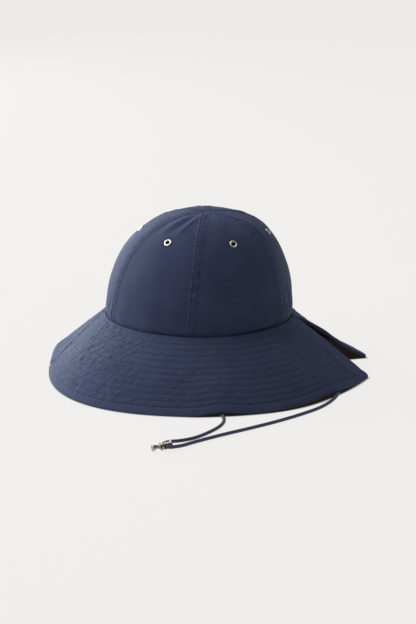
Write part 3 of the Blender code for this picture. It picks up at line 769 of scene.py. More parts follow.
def crown_relief(points, to_seam, up_seam, height, to_eyelet):
    """How far the crown's cloth stands out of its plain surface, and its tone of painted shade and
    highlights.
    """
    topstitch = to_seam - SEAM_TOPSTITCH
    ripple = flat_noise(up_seam, to_seam * 0.35, 2.9 * MM, 5)
    gather = noise(points * np.array([1.0, 1.0, 0.22]), 0.0075, 14)
    # The seam's band, groove and topstitching, with puckers between them
    relief = 0.36 * MM * smooth_step(to_seam, SEAM_BAND + 0.4 * MM, SEAM_BAND - 0.2 * MM)
    relief -= 0.20 * MM * bell(to_seam, 0.45 * MM)
    relief -= 0.42 * MM * bell(topstitch, 0.55 * MM)
    relief += 0.66 * MM * ripple * bell(to_seam - 0.6 * SEAM_TOPSTITCH, 3.4 * MM)
    # Waves and folds of the cloth
    relief += 0.95 * MM * noise(points, 0.052, 11)
    relief += 0.42 * MM * noise(points * np.array([1.0, 1.0, 0.6]), 0.019, 12)
    relief += 1.4 * crown_folds(points)
    relief += 0.05 * MM * noise(points, 0.006, 13)
    # Gathers and the groove over the brim, and the dent round the eyelet
    relief += 0.38 * MM * gather * np.exp(-height / 0.008)
    relief -= 0.7 * MM * np.exp(-height / 0.0014)
    relief += 0.35 * MM * bell(height - 0.006, 0.005)
    relief -= 0.25 * MM * bell(to_eyelet - 0.0040, 0.0016)
    # Painted shade in the seam's groove and topstitching, at the crown's foot over the brim and round
    # the eyelet's dent; painted highlights on the puckers and painted shade between them
    tone = -0.24 * bell(to_seam, 0.5 * MM)
    tone -= 0.40 * bell(topstitch, 0.6 * MM) * (0.7 + 0.7 * ripple)
    tone += 0.42 * ripple * bell(to_seam - 0.6 * SEAM_TOPSTITCH, 3.2 * MM)
    tone -= 0.50 * np.exp(-np.maximum(height, 0.0) / 0.0012)
    tone -= 0.40 * bell(to_eyelet - 0.0046, 0.0010)
    return relief, tone


def crown_panel(index):
    """One panel of the crown, its two seam edges turned in under rows of stitches."""
    start = index * PANEL_WIDTH
    climbs = np.linspace(0.0, TIP_CLIMB, CROWN_ROWS + 1)
    fine = np.linspace(0.0, 1.0, PANEL_LINE_STEPS + 1)
    shares = []
    across = []
    for climb in climbs:
        lengths = run_along(crown_surface(start + PANEL_WIDTH * fine, climb))
        width = lengths[-1]
        band = min(SEAM_BAND + 1.0 * MM, 0.4 * width)
        left = np.linspace(0.0, band, BAND_COLUMNS + 1)
        middle = np.linspace(band, width - band, FIELD_COLUMNS + 1)[1:-1]
        marks = np.concatenate([left, middle, width - left[::-1]])
        shares.append(np.interp(marks, lengths, fine))
        across.append(marks)
    share = np.array(shares)
    across = np.array(across)
    azimuth = start + PANEL_WIDTH * share
    surface = crown_surface(azimuth, climbs[:, None] + 0 * azimuth)
    normal = grid_normals(surface)
    normal *= np.sign((normal * surface * np.array([1, 1, 0.2])).sum(-1, keepdims=True))
    to_seam = np.minimum(across, across[:, -1:] - across)
    up_seam = run_along(surface[:, 0])[:, None] + 0 * across
    height = surface[..., 2] - seam_level(azimuth)
    place, matrix = eyelet_place(index)
    to_eyelet = np.linalg.norm(surface - place, axis=-1)
    # Both sides of a seam pucker alike
    keyed = up_seam + 0.37 * ((index + np.where(share > 0.5, 1, 0)) % PANEL_COUNT)
    relief, tone = crown_relief(surface, to_seam, keyed, height, to_eyelet)
    top = surface + normal * relief[..., None]
    inside = surface - normal * (CROWN_WALL - 0.3 * MM * bell(to_seam, 0.006))[..., None]
    inside += normal * np.minimum(relief, 0.5 * MM)[..., None] * 0.8
    drops = SEAM_TUCK * (1 - np.arange(TUCK_ROWS) / TUCK_ROWS)
    tucks = UP * drops[:, None, None]
    top, inside = (np.concatenate([grid[0] - tucks, grid]) for grid in (top, inside))
    tone, wide = (
        np.concatenate([np.repeat(grid[:1], TUCK_ROWS, axis=0), grid]) for grid in (tone, across)
    )
    up = np.concatenate([up_seam[0] - drops[:, None], up_seam])
    coords = np.stack([wide - wide[:, -1:] / 2, up], -1)
    name = f"panel_{index + 1}"
    mesh = closed_sheet(name, top, inside, coords, tone, 2, 1)
    piece = add(name, mesh, "root", CROWN_CLOTH, [f"crown_panel_{index + 1}"])
    hole = [(0, -0.006), (HOLE_RADIUS, -0.006), (HOLE_RADIUS, 0.006), (0, 0.006)]
    cut_out(piece, lathe("hole", hole, 32, matrix, False))
    stitches = []
    for edge in (0, 1):
        line = []
        ups = []
        for row, marks in enumerate(across):
            width = marks[-1]
            if width < 3.2 * SEAM_TOPSTITCH:
                break
            at = width - SEAM_TOPSTITCH if edge else SEAM_TOPSTITCH
            line.append(values_at(at, marks, top[row + TUCK_ROWS]))
            ups.append(values_at(at, marks, normal[row]))
        stitches.append(spaced_along(np.array(line), np.array(ups)))
    return stitches


def eyelet(index):
    """A pressed metal eyelet with a rolled flange outside and its spread edge inside."""
    middle = (EYELET_HOLE_RADIUS + EYELET_FLANGE_RADIUS) / 2
    half = (EYELET_FLANGE_RADIUS - EYELET_HOLE_RADIUS) / 2
    profile = []
    for step in range(13):
        angle = math.pi * step / 12
        height = EYELET_SEAT + EYELET_FLANGE_HEIGHT * math.sin(angle) ** 0.75
        profile.append((middle - half * math.cos(angle), height))
    profile += [(EYELET_FLANGE_RADIUS - 0.0002, EYELET_SEAT - 0.0001), (0.0027, EYELET_SEAT - 0.0001)]
    profile += [(radius, -CROWN_WALL - depth) for radius, depth in EYELET_SPREAD]
    mesh = lathe(f"eyelet_ring_{index + 1}", profile, 48, eyelet_place(index)[1], True, 60)
    add(mesh.name, mesh, "root", EYELET_METAL, [f"eyelet_{index + 1}"])


# Brim


SIDE_NAMES = {1: "left", -1: "right"}
BRIM_FIELD_COLUMNS = 262
BRIM_EDGE_COLUMNS = 34
BRIM_SEAM_COLUMNS = 12
BRIM_ROWS = 124
BRIM_LINE_STEPS = 120
# About the length of a half's rim and the width of the brim
RIM_LENGTH = 0.5
BRIM_WIDTH = 0.088
# The mesh is finer along the slit, along the front seam and in rows near the rim, given in mm from it
SLIT_EDGE_RUN = 0.022
FRONT_EDGE_RUN = 0.006
EDGE_ROWS = np.array([0.0, 0.10, 0.32, 0.68, 1.2])
ROW_COUNT = 10
FIRST_ROW = 0.109
ROW_STEP = 0.080
HEM = 0.0080
SLIT_HEM = 0.0160
HEM_STITCH = HEM - 0.0011
SLIT_STITCH = SLIT_HEM - 0.0011
FRONT_STITCH = 0.0028
HEM_STAND = 0.0005
SLIT_HEM_STAND = 0.0004

# The left half's slit edge curls up a little
SLIT_CURL = 0.0008
# The right half's slit edge stands a little proud in its upper part, so its top side hides
FAR_SLIT_LIFT = 0.0034

# Where the cloth is loose and puckered or crinkled: azimuth in degrees, share and half width
LOOSE_FRONT = ((-62.0, 1.0, 36.0),)
LOOSE_BACK = ((128.0, 0.6, 30.0),)
CRINKLED = ((-22.0, 1.0, 42.0),)

# Radial folds pressed into the brim near its rim: azimuth in degrees, share of the brim's width at
# both ends, depth and half width in mm
BRIM_FOLD_ROWS = (
    (-49.0, 0.72, 0.96, 0.55, 1.5),
    (-34.5, 0.68, 0.97, 0.32, 1.5),
    (-63.0, 0.45, 0.66, 0.35, 1.8),
    (-118.0, 0.60, 0.95, 0.50, 1.8),
    (-150.0, 0.68, 0.97, 0.40, 1.8),
    (171.0, 0.66, 0.96, 0.35, 1.8),
    (133.0, 0.72, 0.97, 0.40, 1.9),
)


def brim_folds(rim_azimuth, share):
    """Depth of the brim's radial folds."""
    depths = 0 * share
    for azimuth, low, high, depth, half_width in BRIM_FOLD_ROWS:
        away = wrapped_degrees(rim_azimuth, azimuth - 180.0) - azimuth
        distance = np.radians(away) * 0.155 - 0.004 * np.sin(9 * share)
        reach = smooth_step(share, low, low + 0.1) * smooth_step(share, high + 0.03, high - 0.05)
        crease = bell(distance, half_width * MM) - 0.7 * bell(distance - 0.0035, 0.003)
        depths = depths + depth * MM * crease * reach
    return depths


def brim_relief(side, rim_azimuth, along, share, length, to_slit, to_front, under):
    """How far the brim's cloth puffs out between its rows of stitches, and its tone of painted shade and
    highlights.
    """
    seed = (20 if side > 0 else 40) + (7 if under else 0)
    to_rim = (1 - share) * length
    # The channel between two rows of stitches, and the place across it from 0 to 1
    last = ROW_COUNT - 1
    channel = (share - FIRST_ROW) / ROW_STEP
    inner = np.maximum(channel, -1.0)
    end = (1 - HEM / length - FIRST_ROW) / ROW_STEP
    position = np.where(inner < 0, 1 + channel * ROW_STEP / FIRST_ROW, inner - np.floor(inner))
    position = np.where(inner > last, (inner - last) / np.maximum(end - last, 1e-6), position)
    arch = np.sin(math.pi * np.clip(position, 0.0, 1.0))
    index = np.where(inner < 0, -1, np.minimum(np.floor(inner), last))
    field = smooth_step(to_rim, HEM - 0.1 * MM, HEM + 0.5 * MM)
    field = field * smooth_step(to_slit, SLIT_HEM - 0.1 * MM, SLIT_HEM + 0.5 * MM)
    loose = np.maximum(bumps(rim_azimuth, LOOSE_FRONT), bumps(rim_azimuth, LOOSE_BACK))
    cell = np.stack([along * (1 - 0.35 * loose), index * 0.031 + share * 0.05, 0 * along], -1)
    small = noise(cell, 3.4 * MM, seed)
    wide = noise(cell + 0.013 * index[..., None], 9.5 * MM, seed + 1)
    slant = flat_noise(along + 0.55 * share * length, share * length * 0.42, 8.5 * MM, seed + 2)
    broad = flat_noise(along, share * length, 34 * MM, seed + 3)
    hem_pull = flat_noise(along + 0.8 * to_rim, 0.3 * to_rim, 6 * MM, seed + 4)
    crinkle = flat_noise(along, 0.16 * share * length, 3.3 * MM, seed + 5)
    crinkle = field * crinkle * (0.35 + 0.65 * bumps(rim_azimuth, CRINKLED))
    # Puffs and wrinkles
    relief = field * (0.46 * MM * np.maximum(arch, 0.0) ** 0.6 - 0.36 * MM)
    relief += field * (0.25 + 0.75 * arch) * MM * (
        (0.30 + 0.46 * loose) * small + (0.11 + 0.26 * loose) * wide + (0.05 + 0.26 * loose) * slant
    )
    relief += 0.30 * MM * broad + 0.16 * MM * crinkle
    # Hems, their stitched lines and the front seam
    relief += (1 - field) * (0.11 * MM * hem_pull - 0.20 * MM * bell(to_rim - HEM_STITCH, 0.7 * MM))
    relief += HEM_STAND * smooth_step(to_rim, HEM + 0.2 * MM, HEM - 0.8 * MM)
    relief += SLIT_HEM_STAND * smooth_step(to_slit, SLIT_HEM + 0.8 * MM, SLIT_HEM - 0.8 * MM)
    slit_line = bell(to_slit - SLIT_STITCH, 0.5 * MM)
    relief -= 0.24 * MM * slit_line * smooth_step(to_rim, HEM - 1.5 * MM, HEM)
    relief -= 1.00 * MM * bell(to_front, 0.9 * MM)
    relief += 0.30 * MM * smooth_step(to_front, 4.6 * MM, 3.9 * MM)
    relief -= 0.20 * MM * bell(to_front - FRONT_STITCH, 0.45 * MM)
    if not under:
        relief -= brim_folds(rim_azimuth, share)
    # Painted shade along the rows of stitches, beside the hem and the slit hem and along the front seam;
    # painted highlights and shade on the wrinkles; painted highlights on the hems and the slit hem's
    # inner edge; the right half paler away from the front seam
    tone = field * (-0.20 * (1 - arch) ** 3 + (0.10 + 0.34 * loose) * small + 0.10 * loose * slant)
    tone += 0.13 * crinkle + 0.09 * (1 - field)
    tone += 0.13 * smooth_step(to_slit, SLIT_HEM + 0.8 * MM, SLIT_HEM)
    tone += 0.46 * bell(to_slit - SLIT_HEM, 2.6 * MM) * smooth_step(to_rim, HEM, HEM + 2 * MM)
    tone -= 0.30 * bell(to_slit - SLIT_HEM - 4 * MM, 1.6 * MM)
    tone += 0.20 * bell(to_rim - HEM + 0.9 * MM, 0.8 * MM)
    tone -= 0.36 * bell(to_rim - HEM - 0.9 * MM, 0.8 * MM)
    tone -= 0.90 * bell(to_front, 1.9 * MM)
    if side < 0:
        tone += 0.20 * smooth_step(to_front, 30 * MM, 18 * MM)
    return relief, np.clip(tone, -1.0, 1.0)


def brim_half(side):
    """One half of the brim: two layers of cloth quilted by rows of stitches, with a hem."""
    edge = 1 - SLIT_EDGE_RUN / RIM_LENGTH
    front = FRONT_EDGE_RUN / RIM_LENGTH
    around = side * np.concatenate([
        np.linspace(0.02 * MM / RIM_LENGTH, front, BRIM_SEAM_COLUMNS + 1),
        np.linspace(front, edge, BRIM_FIELD_COLUMNS + 1)[1:-1],
        np.linspace(edge, 1.0, BRIM_EDGE_COLUMNS + 1),
    ])
    fine = np.linspace(0.0, 1.0, BRIM_LINE_STEPS + 1)
    reach = corner_share(around)
    lengths = run_along(brim_middle_surface(around[:, None] + 0 * fine, fine * reach[:, None]))
    total = lengths[:, -1]
    edge_shares = EDGE_ROWS * MM / BRIM_WIDTH
    shares = np.concatenate([
        np.linspace(0.0, 1 - edge_shares[-1], BRIM_ROWS - 3), 1 - edge_shares[-2::-1],
    ])
    across = np.stack([np.interp(shares * run[-1], run, fine) for run in lengths], 1)
    share = shares[:, None] + 0 * across
    grid_around = around[None, :] + 0 * across
    middle = brim_middle_surface(grid_around, across * reach[None, :])
    normal = grid_normals(middle)
    normal *= np.sign(normal[..., 2:3])
    along = run_along(middle)
    to_front = along + 0.05 * MM
    to_slit = along[:, -1:] - along
    length = total[None, :] + 0 * along
    rim_azimuth = brim_azimuths(grid_around)[1]
    to_border = np.minimum((1 - share) * length, to_slit)
    half = BRIM_THICKNESS / 2
    closeness = np.minimum(to_border, half) / half
    round_edge = np.sqrt(np.maximum(1 - (1 - closeness) ** 2, 0.0))
    seam_edge = smooth_step(to_front, 0.0, 0.9 * MM) * 0.45 + 0.55
    body = (half - 0.10 * MM) * round_edge * seam_edge + 0.02 * MM
    fade = smooth_step(to_border, 0.2 * MM, 1.6 * MM) * smooth_step(share, 0.0, 0.03)
    facts = (side, rim_azimuth, along, share, length, to_slit, to_front)
    over, tone = brim_relief(*facts, False)
    over = over * fade
    below = brim_relief(*facts, True)[0] * fade
    if side > 0:
        lift = SLIT_CURL * smooth_step(to_slit, SLIT_HEM + 2.5 * MM, 0.0) * (1 - share ** 3)
    else:
        far = smooth_step(to_slit, 20 * MM, 0.0) * smooth_step(share, 0.0, 0.12)
        lift = FAR_SLIT_LIFT * far * bell(share - 0.36, 0.24)
    top = middle + normal * (body + over + lift)[..., None]
    bottom = middle - normal * (body - 0.35 * over + 0.65 * below - lift)[..., None]
    bottom[..., 2] = np.maximum(bottom[..., 2], rim_lift(rim_azimuth) + 0.02 * MM)
    coords = np.stack([along, share * length], -1)
    grids = (top, bottom, normal, to_slit, to_front, coords, tone)
    if side < 0:
        grids = tuple(grid[:, ::-1] for grid in grids)
        total = total[::-1]
    top, bottom, normal, to_slit, to_front, coords, tone = grids
    name = SIDE_NAMES[side]
    mesh = closed_sheet("brim_cloth_" + name, top, bottom, coords, tone, 1, 2)
    add("brim_cloth_" + name, mesh, "root", BRIM_CLOTH, ["brim_" + name])
    return top, bottom, normal, shares, total, to_slit, to_front


def sorted_by(keys, rows):
    """Keys in rising order, with their rows."""
    order = np.argsort(keys)
    return keys[order], rows[order]


def brim_stitches(halves):
    """The rows of stitches of both halves, on the upper and the under side."""
    for side, (top, bottom, normal, shares, total, to_slit, to_front) in halves.items():
        for label, surface, sign in (("upper", top, 1), ("under", bottom, -1)):
            lines = []
            rows = [FIRST_ROW + ROW_STEP * row + 0 * total for row in range(ROW_COUNT)]
            limits = [SLIT_HEM + 0.3 * MM] * ROW_COUNT
            for marks, limit in zip(rows + [1 - HEM_STITCH / total], limits + [SLIT_STITCH]):
                lines.append([
                    [values_at(mark, shares, grid[:, column]) for grid in (surface, normal)]
                    for column, mark in enumerate(marks)
                    if np.interp(mark, shares, to_slit[:, column]) >= limit
                ])
            for field, inset in ((to_slit, SLIT_STITCH), (to_front, FRONT_STITCH)):
                lines.append([
                    [values_at(inset, *sorted_by(field[row], grid[row])) for grid in (surface, normal)]
                    for row, share in enumerate(shares)
                    if share >= 0.03 and (1 - share) * 0.09 >= HEM_STITCH
                ])
            runs = []
            for line in lines:
                points, ups = np.array(line).swapaxes(0, 1)
                runs.append(spaced_along(points, ups * sign))
            add_stitches(f"brim_stitches_{label}_{SIDE_NAMES[side]}", runs)


# Chin cord


CORD_ROUTE_SAMPLES = 12
CORD_RING = 0.00045
CORD_SIDES = 24
CORD_STRANDS = 8
BRAID_PITCH = 0.0105
BRAID_RELIEF = 0.00010
CORD_LOWEST = 0.00003


def lock_matrix():
    """Frame of the cord lock: Z runs from its knob to its blind end, X is the cord's way through."""
    along = Vector((math.cos(LOCK_AZIMUTH), math.sin(LOCK_AZIMUTH), 0))
    up = Vector((0, 0, 1))
    turn = Matrix((along.cross(up), -up, along)).transposed()
    place = Vector((LOCK_PLACE[0], LOCK_PLACE[1] - MIDDLE, LOCK_FLANGE_RADIUS))
    return Matrix.Translation(place) @ turn.to_4x4()


def tab_centre(side):
    """Centre of the sewn tab inside the crown over the left (1) or right (-1) ear."""
    x = CROWN_HALF_WIDTH - CROWN_WALL - CLEARANCE - CORD_DIAMETER / 2 - TAB_CLOTH
    return np.array([side * x, -MIDDLE, SEAM_HEIGHT + TAB_TOP_OVER_SEAM - TAB_HEIGHT / 2])


def smooth_route(points, samples):
    """A smooth curve through the points (centripetal Catmull-Rom)."""
    points = [Vector(p) for p in points]
    padded = [points[0] * 2 - points[1]] + points + [points[-1] * 2 - points[-2]]
    curve = []
    for p0, p1, p2, p3 in zip(padded, padded[1:], padded[2:], padded[3:]):
        t0 = 0.0
        t1 = t0 + math.sqrt((p1 - p0).length)
        t2 = t1 + math.sqrt((p2 - p1).length)
        t3 = t2 + math.sqrt((p3 - p2).length)
        for step in range(samples):
            t = t1 + (t2 - t1) * step / samples
            a1 = p0.lerp(p1, (t - t0) / (t1 - t0))
            a2 = p1.lerp(p2, (t - t1) / (t2 - t1))
            a3 = p2.lerp(p3, (t - t2) / (t3 - t2))
            b1 = a1.lerp(a2, (t - t0) / (t2 - t0))
            b2 = a2.lerp(a3, (t - t1) / (t3 - t1))
            curve.append(b1.lerp(b2, (t - t1) / (t2 - t1)))
    curve.append(points[-1])
    return np.array([(p.x, p.y, max(p.z, CORD_REST_HEIGHT)) for p in curve])


def cord_line():
    """The cord's centre line in the row frame, at even steps."""
    ends = []
    for side in (1, -1):
        mouth = tab_centre(side) - UP * (TAB_HEIGHT / 2 + CLEARANCE)
        ends.append((mouth, mouth - UP * 3 * CORD_DIAMETER))
    turn = []
    for degrees in range(-90, 91, 30):
        angle = math.radians(degrees)
        sideways = LOCK_TURN_RADIUS * math.sin(angle)
        forward = LOCK_TURN_RADIUS * (1 - math.cos(angle))
        turn.append(lock_matrix() @ Vector((sideways, 0, forward)))
    out, back = (
        [Vector((x, y - MIDDLE, *(height or [CORD_REST_HEIGHT]))) for x, y, *height in places]
        for places in (CORD_ROUTE_OUT, CORD_ROUTE_BACK)
    )
    route = [ends[0][0], ends[0][1], *out, *turn, *back, ends[1][1], ends[1][0]]
    curve = smooth_route(route, CORD_ROUTE_SAMPLES)
    lengths = run_along(curve)
    marks = np.linspace(0.0, lengths[-1], int(lengths[-1] / CORD_RING) + 1)
    return values_at(marks, lengths, curve), lengths[-1]


def chin_cord():
    """The cord: a round braid, swept along its centre line."""
    line, length = cord_line()
    tangent = unit(np.gradient(line, axis=0))
    normals = np.zeros_like(tangent)
    current = Vector((1.0, 0.0, 0.0))
    for index, direction in enumerate(tangent):
        along = Vector(direction)
        current = (current - along * current.dot(along)).normalized()
        normals[index] = current
    binormal = np.cross(tangent, normals)
    distance = np.arange(len(line)) * (length / (len(line) - 1))
    angle = FULL_TURN * np.arange(CORD_SIDES) / CORD_SIDES
    twist = FULL_TURN * distance[:, None] / BRAID_PITCH
    first = np.abs(np.cos(CORD_STRANDS / 2 * (angle + twist)))
    second = np.abs(np.cos(CORD_STRANDS / 2 * (angle - twist)))
    over = np.cos(CORD_STRANDS * angle) * np.cos(CORD_STRANDS * twist) > 0
    height = np.where(over, first ** 0.7, second ** 0.7)
    radius = CORD_DIAMETER / 2 - BRAID_RELIEF + BRAID_RELIEF * 1.6 * height
    ring = (
        normals[:, None] * (np.cos(angle)[None, :] * radius)[..., None]
        + binormal[:, None] * (np.sin(angle)[None, :] * radius)[..., None]
    )
    points = (line[:, None] + ring).reshape(-1, 3)
    points[:, 2] = np.maximum(points[:, 2], CORD_LOWEST)
    rings = len(line)
    faces = ring_faces(rings, CORD_SIDES)
    faces.append(list(range(CORD_SIDES)))
    faces.append(list(range(rings * CORD_SIDES - 1, (rings - 1) * CORD_SIDES - 1, -1)))
    coords = np.stack([
        np.repeat(angle[None, :] * CORD_DIAMETER / 2, rings, axis=0),
        np.repeat(distance[:, None], CORD_SIDES, axis=1),
    ], -1).reshape(-1, 2)
    mesh = mesh_of("cord", points, faces, coords)
    return add("cord", mesh, "root", CORD, ["chin_cord"]), line, length


# Cord lock


LOCK_SIDES = 56
LOCK_BEAD = 0.0013
NECK_RADIUS = 0.0017
KNOB_RADIUS = 0.0032
KNOB_LENGTH = 0.0067
# The knob's rounded end: how far it stands past the knob's radius, and share of its length
KNOB_END = ((0.00008, 0.91), (0.0, 0.955), (-0.0003, 0.99), (-0.0008, 1.0))


def cord_extent(sideways):
    """How far along the lock the cord's far side reaches, this far from the lock's axis."""
    forward = LOCK_TURN_RADIUS - math.sqrt(LOCK_TURN_RADIUS ** 2 - sideways ** 2)
    slope = math.sqrt(1 - (sideways / LOCK_TURN_RADIUS) ** 2)
    return forward + CORD_DIAMETER / 2 / slope + CLEARANCE


def stadium(low, high, half_height, half_depth):
    """A slot cutter along X, in the lock's frame: a rounded slot from low to high along Z."""
    ring = []
    for centre, start in ((high - half_height, 0.0), (low + half_height, math.pi)):
        for step in range(13):
            angle = start + math.pi * step / 12
            ring.append((half_height * math.cos(angle), centre + half_height * math.sin(angle)))
    count = len(ring)
    verts = [(x, y, z) for x in (-half_depth, half_depth) for y, z in ring]
    faces = [list(range(count)), list(range(2 * count - 1, count - 1, -1))]
    for index in range(count):
        after = (index + 1) % count
        faces.append([index, after, count + after, count + index])
    mesh = mesh_of("slot", verts, faces)
    face_outward(mesh)
    mesh.transform(lock_matrix())
    return mesh


def rolled(radius, low, high, steps):
    """Profile points of a round bead that stands out to a radius between two heights."""
    middle = (low + high) / 2
    half = (high - low) / 2
    points = []
    for step in range(steps + 1):
        angle = -RIGHT_ANGLE + math.pi * step / steps
        points.append((radius - half + half * math.cos(angle), middle + half * math.sin(angle)))
    return points


def cord_lock():
    """The lock: a barrel with a rolled bead at each end, and a plunger with a flared knob."""
    plunger_radius = LOCK_BORE_RADIUS - CLEARANCE
    low = -CORD_DIAMETER / 2 - CLEARANCE
    plunger_low = low - PLUNGER_TRAVEL
    front = plunger_low - 0.3 * MM
    stem_end = cord_extent(plunger_radius) + 1.0 * MM
    bore_end = stem_end + PLUNGER_TRAVEL + CLEARANCE
    back = bore_end + 0.9 * MM
    profile = [
        (0, bore_end), (LOCK_BORE_RADIUS, bore_end), (LOCK_BORE_RADIUS, front + 0.25 * MM),
        (LOCK_BORE_RADIUS + 0.0002, front + 0.02 * MM),
        *rolled(LOCK_FLANGE_RADIUS, front, front + LOCK_BEAD, 10),
        (LOCK_BARREL_RADIUS, front + LOCK_BEAD + 0.2 * MM),
        (LOCK_BARREL_RADIUS, back - LOCK_BEAD - 0.2 * MM),
        *rolled(LOCK_FLANGE_RADIUS, back - LOCK_BEAD, back, 10),
        (LOCK_BARREL_RADIUS - 0.0004, back - 0.05 * MM), (0.0018, back - 0.25 * MM),
        (0, back - 0.25 * MM),
    ]
    mesh = lathe("barrel", profile, LOCK_SIDES, lock_matrix(), False, 35)
    barrel = add("barrel", mesh, "root", LOCK_METAL, ["lock_barrel"])
    slot = CORD_DIAMETER / 2 + CLEARANCE
    cut_out(barrel, stadium(low, cord_extent(LOCK_BARREL_RADIUS), slot + 0.4 * MM, 0.0086))
    neck = front - PLUNGER_TRAVEL - CLEARANCE
    profile = [
        (0, stem_end), (plunger_radius - 0.0002, stem_end), (plunger_radius, stem_end - 0.0002),
        (plunger_radius, neck + CLEARANCE), (NECK_RADIUS, neck),
    ]
    for step in range(1, 15):
        share = step / 14
        radius = NECK_RADIUS + (KNOB_RADIUS - NECK_RADIUS) * share ** 2.1
        profile.append((radius, neck - 0.86 * KNOB_LENGTH * share))
    profile += [(KNOB_RADIUS + past, neck - share * KNOB_LENGTH) for past, share in KNOB_END]
    profile += [(0.0016, neck - 0.965 * KNOB_LENGTH), (0, neck - 0.96 * KNOB_LENGTH)]
    mesh = lathe("plunger", profile, LOCK_SIDES, lock_matrix(), False, 40)
    plunger = add("plunger", mesh, "plunger", LOCK_METAL, ["lock_plunger"])
    cut_out(plunger, stadium(plunger_low, cord_extent(plunger_radius), slot, 0.0050))
    return barrel, plunger


def cord_tab(side):
    """A folded tab of cloth sewn over one end of the cord, inside the crown."""
    name = SIDE_NAMES[side]
    centre = tab_centre(side)
    half = np.array([CORD_DIAMETER / 2 + TAB_CLOTH, CORD_DIAMETER / 2 + TAB_EDGE, TAB_HEIGHT / 2])
    rows = 33
    columns = 40
    up = np.linspace(-1.0, 1.0, rows)[:, None]
    turn = (FULL_TURN * np.arange(columns) / columns)[None, :]
    body = np.maximum(np.maximum(1 - np.abs(up) ** 14, 0.0) ** (1 / 6), 0.02)
    flat = np.abs(np.cos(turn)) ** 0.8 * np.sign(np.cos(turn))
    wide = np.abs(np.sin(turn)) ** 0.55 * np.sign(np.sin(turn))
    belly = 0.72 + 0.28 * bell(wide, 0.55)
    points = np.stack(np.broadcast_arrays(
        centre[0] + half[0] * flat * belly * body,
        centre[1] + half[1] * wide * body,
        centre[2] + half[2] * up,
    ), -1)
    points = points + 0.06 * MM * noise(points, 0.003, 61)[..., None]
    faces = ring_faces(rows, columns, True)
    faces.append(list(range(columns))[::-1])
    faces.append(list(range((rows - 1) * columns, rows * columns)))
    coords = np.stack(np.broadcast_arrays(turn * 0.004, half[2] * up), -1).reshape(-1, 2)
    mesh = mesh_of("tab_" + name, points.reshape(-1, 3), faces, coords, 60)
    add("tab_" + name, mesh, "root", CROWN_CLOTH, ["cord_tab_" + name])


# Stage


# The floor's rings, as shares of the way from the hat's middle to its rim
FLOOR_RINGS = np.concatenate([
    [0.0, 0.25], np.arange(0.50, 0.98, 0.02),
    [0.98, 0.99, 1.0, 1.01, 1.02, 1.03, 1.045, 1.06, 1.08, 1.3, 2.0, 5.0, 40.0, 400.0],
])
FLOOR_TURNS = np.concatenate([np.arange(-180.0, 180.0, 2.0), np.arange(76.0, 104.0, 0.25)])


def floor_mesh():
    """A wide floor that glows like a light table, with painted shade beneath the hat, except in its
    slit, and a painted shadow a little past its right rim.
    """
    turns = np.radians(np.unique(FLOOR_TURNS))
    rings = FLOOR_RINGS
    reach = rim_reach(turns)[None, :] * rings[:, None]
    x = reach * np.cos(turns)
    y = reach * np.sin(turns)
    slope = (SLIT_HALF_WIDTH - SLIT_TOP_HALF_WIDTH) / BRIM_BACK_OVERHANG
    inside_slit = SLIT_TOP_HALF_WIDTH + slope * (y - CROWN_HALF_LENGTH) - np.abs(x)
    inside_slit = np.where(y > CROWN_HALF_LENGTH, inside_slit, -1.0)
    # A painted shadow reaches a little past the rim, most near 50 degrees
    shade = 0.010 * bell(np.degrees(turns)[None, :] - 50.0, 15.0)
    open_floor = smooth_step(rings[:, None] - shade, 0.994, 1.003 + shade)
    glow = np.maximum(open_floor, smooth_step(inside_slit, -1.5 * MM, 1.5 * MM))
    points = np.stack([x, y - MIDDLE, 0 * x], -1).reshape(-1, 3)
    mesh = bpy.data.meshes.new("floor")
    mesh.from_pydata(points.tolist(), [], ring_faces(*reach.shape))
    # The glow attribute is 0 where the floor takes the painted shade
    layer = mesh.color_attributes.new("glow", "FLOAT_COLOR", "POINT")
    layer.data.foreach_set("color", np.repeat(glow.reshape(-1, 1), 4, axis=1).astype(np.float32).ravel())
    return mesh


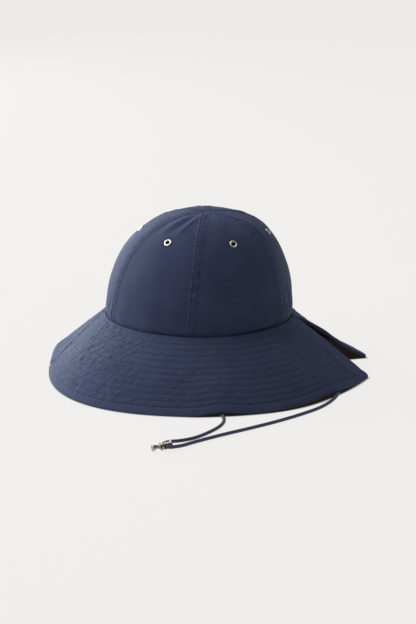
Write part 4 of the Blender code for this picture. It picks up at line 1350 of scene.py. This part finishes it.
def stage():
    """A pale floor and backdrop, soft light that comes mostly from the left, and the camera."""
    mesh = floor_mesh()
    floor = linked("floor", mesh)
    pale, tree, shader = new_material("pale_floor")
    glow = new_node(tree, "VertexColor", {}, layer_name="glow").outputs["Color"]
    fill(tree, shader, {
        "Base Color": (0.045, 0.045, 0.045),
        "Roughness": 1.0,
        "Specular IOR Level": 0.0,
        # Painted shade where the glow attribute falls to 0
        "Emission Color": mix_colours(tree, glow, SHADE, PALE),
        "Emission Strength": FLOOR_GLOW,
    })
    mesh.materials.append(pale)
    world = bpy.data.worlds.new("studio")
    world.use_nodes = True
    sky = world.node_tree
    light = sky.nodes["Background"]
    fill(sky, light, {"Color": WORLD_COLOUR, "Strength": WORLD_LIGHT})
    backdrop = new_node(sky, "Background", {"Color": PALE, "Strength": FLOOR_GLOW})
    seen = new_node(sky, "LightPath", {}).outputs["Is Camera Ray"]
    chosen = new_node(sky, "MixShader", {0: seen, 1: light.outputs[0], 2: backdrop.outputs[0]})
    fill(sky, sky.nodes["World Output"], {"Surface": chosen.outputs[0]})
    bpy.context.scene.world = world
    for name, place, size, power in LAMPS:
        lamp = bpy.data.lights.new(name, "AREA")
        lamp.shape = "SQUARE"
        lamp.size = size
        lamp.energy = power
        holder = linked(name, lamp)
        holder.location = place
        holder.rotation_euler = (LAMP_TARGET - Vector(place)).to_track_quat("-Z", "Y").to_euler()
    lens = bpy.data.cameras.new("camera")
    lens.sensor_width = SENSOR
    lens.lens = PIXELS_PER_METRE * CAMERA_DISTANCE / IMAGE_HEIGHT * SENSOR
    lens.shift_x = (IMAGE_WIDTH / 2 - TARGET_PIXEL[0]) / IMAGE_HEIGHT
    lens.shift_y = (TARGET_PIXEL[1] - IMAGE_HEIGHT / 2) / IMAGE_HEIGHT
    lens.clip_end = 200.0
    holder = linked("camera", lens)
    level = math.cos(CAMERA_ELEVATION)
    back = Vector((
        math.sin(CAMERA_AZIMUTH) * level, -math.cos(CAMERA_AZIMUTH) * level, math.sin(CAMERA_ELEVATION),
    ))
    right = Vector((math.cos(CAMERA_AZIMUTH), math.sin(CAMERA_AZIMUTH), 0))
    turn = Matrix((right, back.cross(right), back)).transposed().to_4x4()
    holder.matrix_world = Matrix.Translation(CAMERA_TARGET + back * CAMERA_DISTANCE) @ turn
    bpy.context.scene.camera = holder
    bpy.context.scene.view_settings.view_transform = "Standard"


# The whole hat


stage()
cord_piece, cord_path, cord_length = chin_cord()
lock_barrel, lock_plunger = cord_lock()
for tab_side in (1, -1):
    cord_tab(tab_side)
runs = []
for panel in range(PANEL_COUNT):
    runs += crown_panel(panel)
    eyelet(panel)
add_stitches("crown_stitches", runs)
brim_stitches({1: brim_half(1), -1: brim_half(-1)})
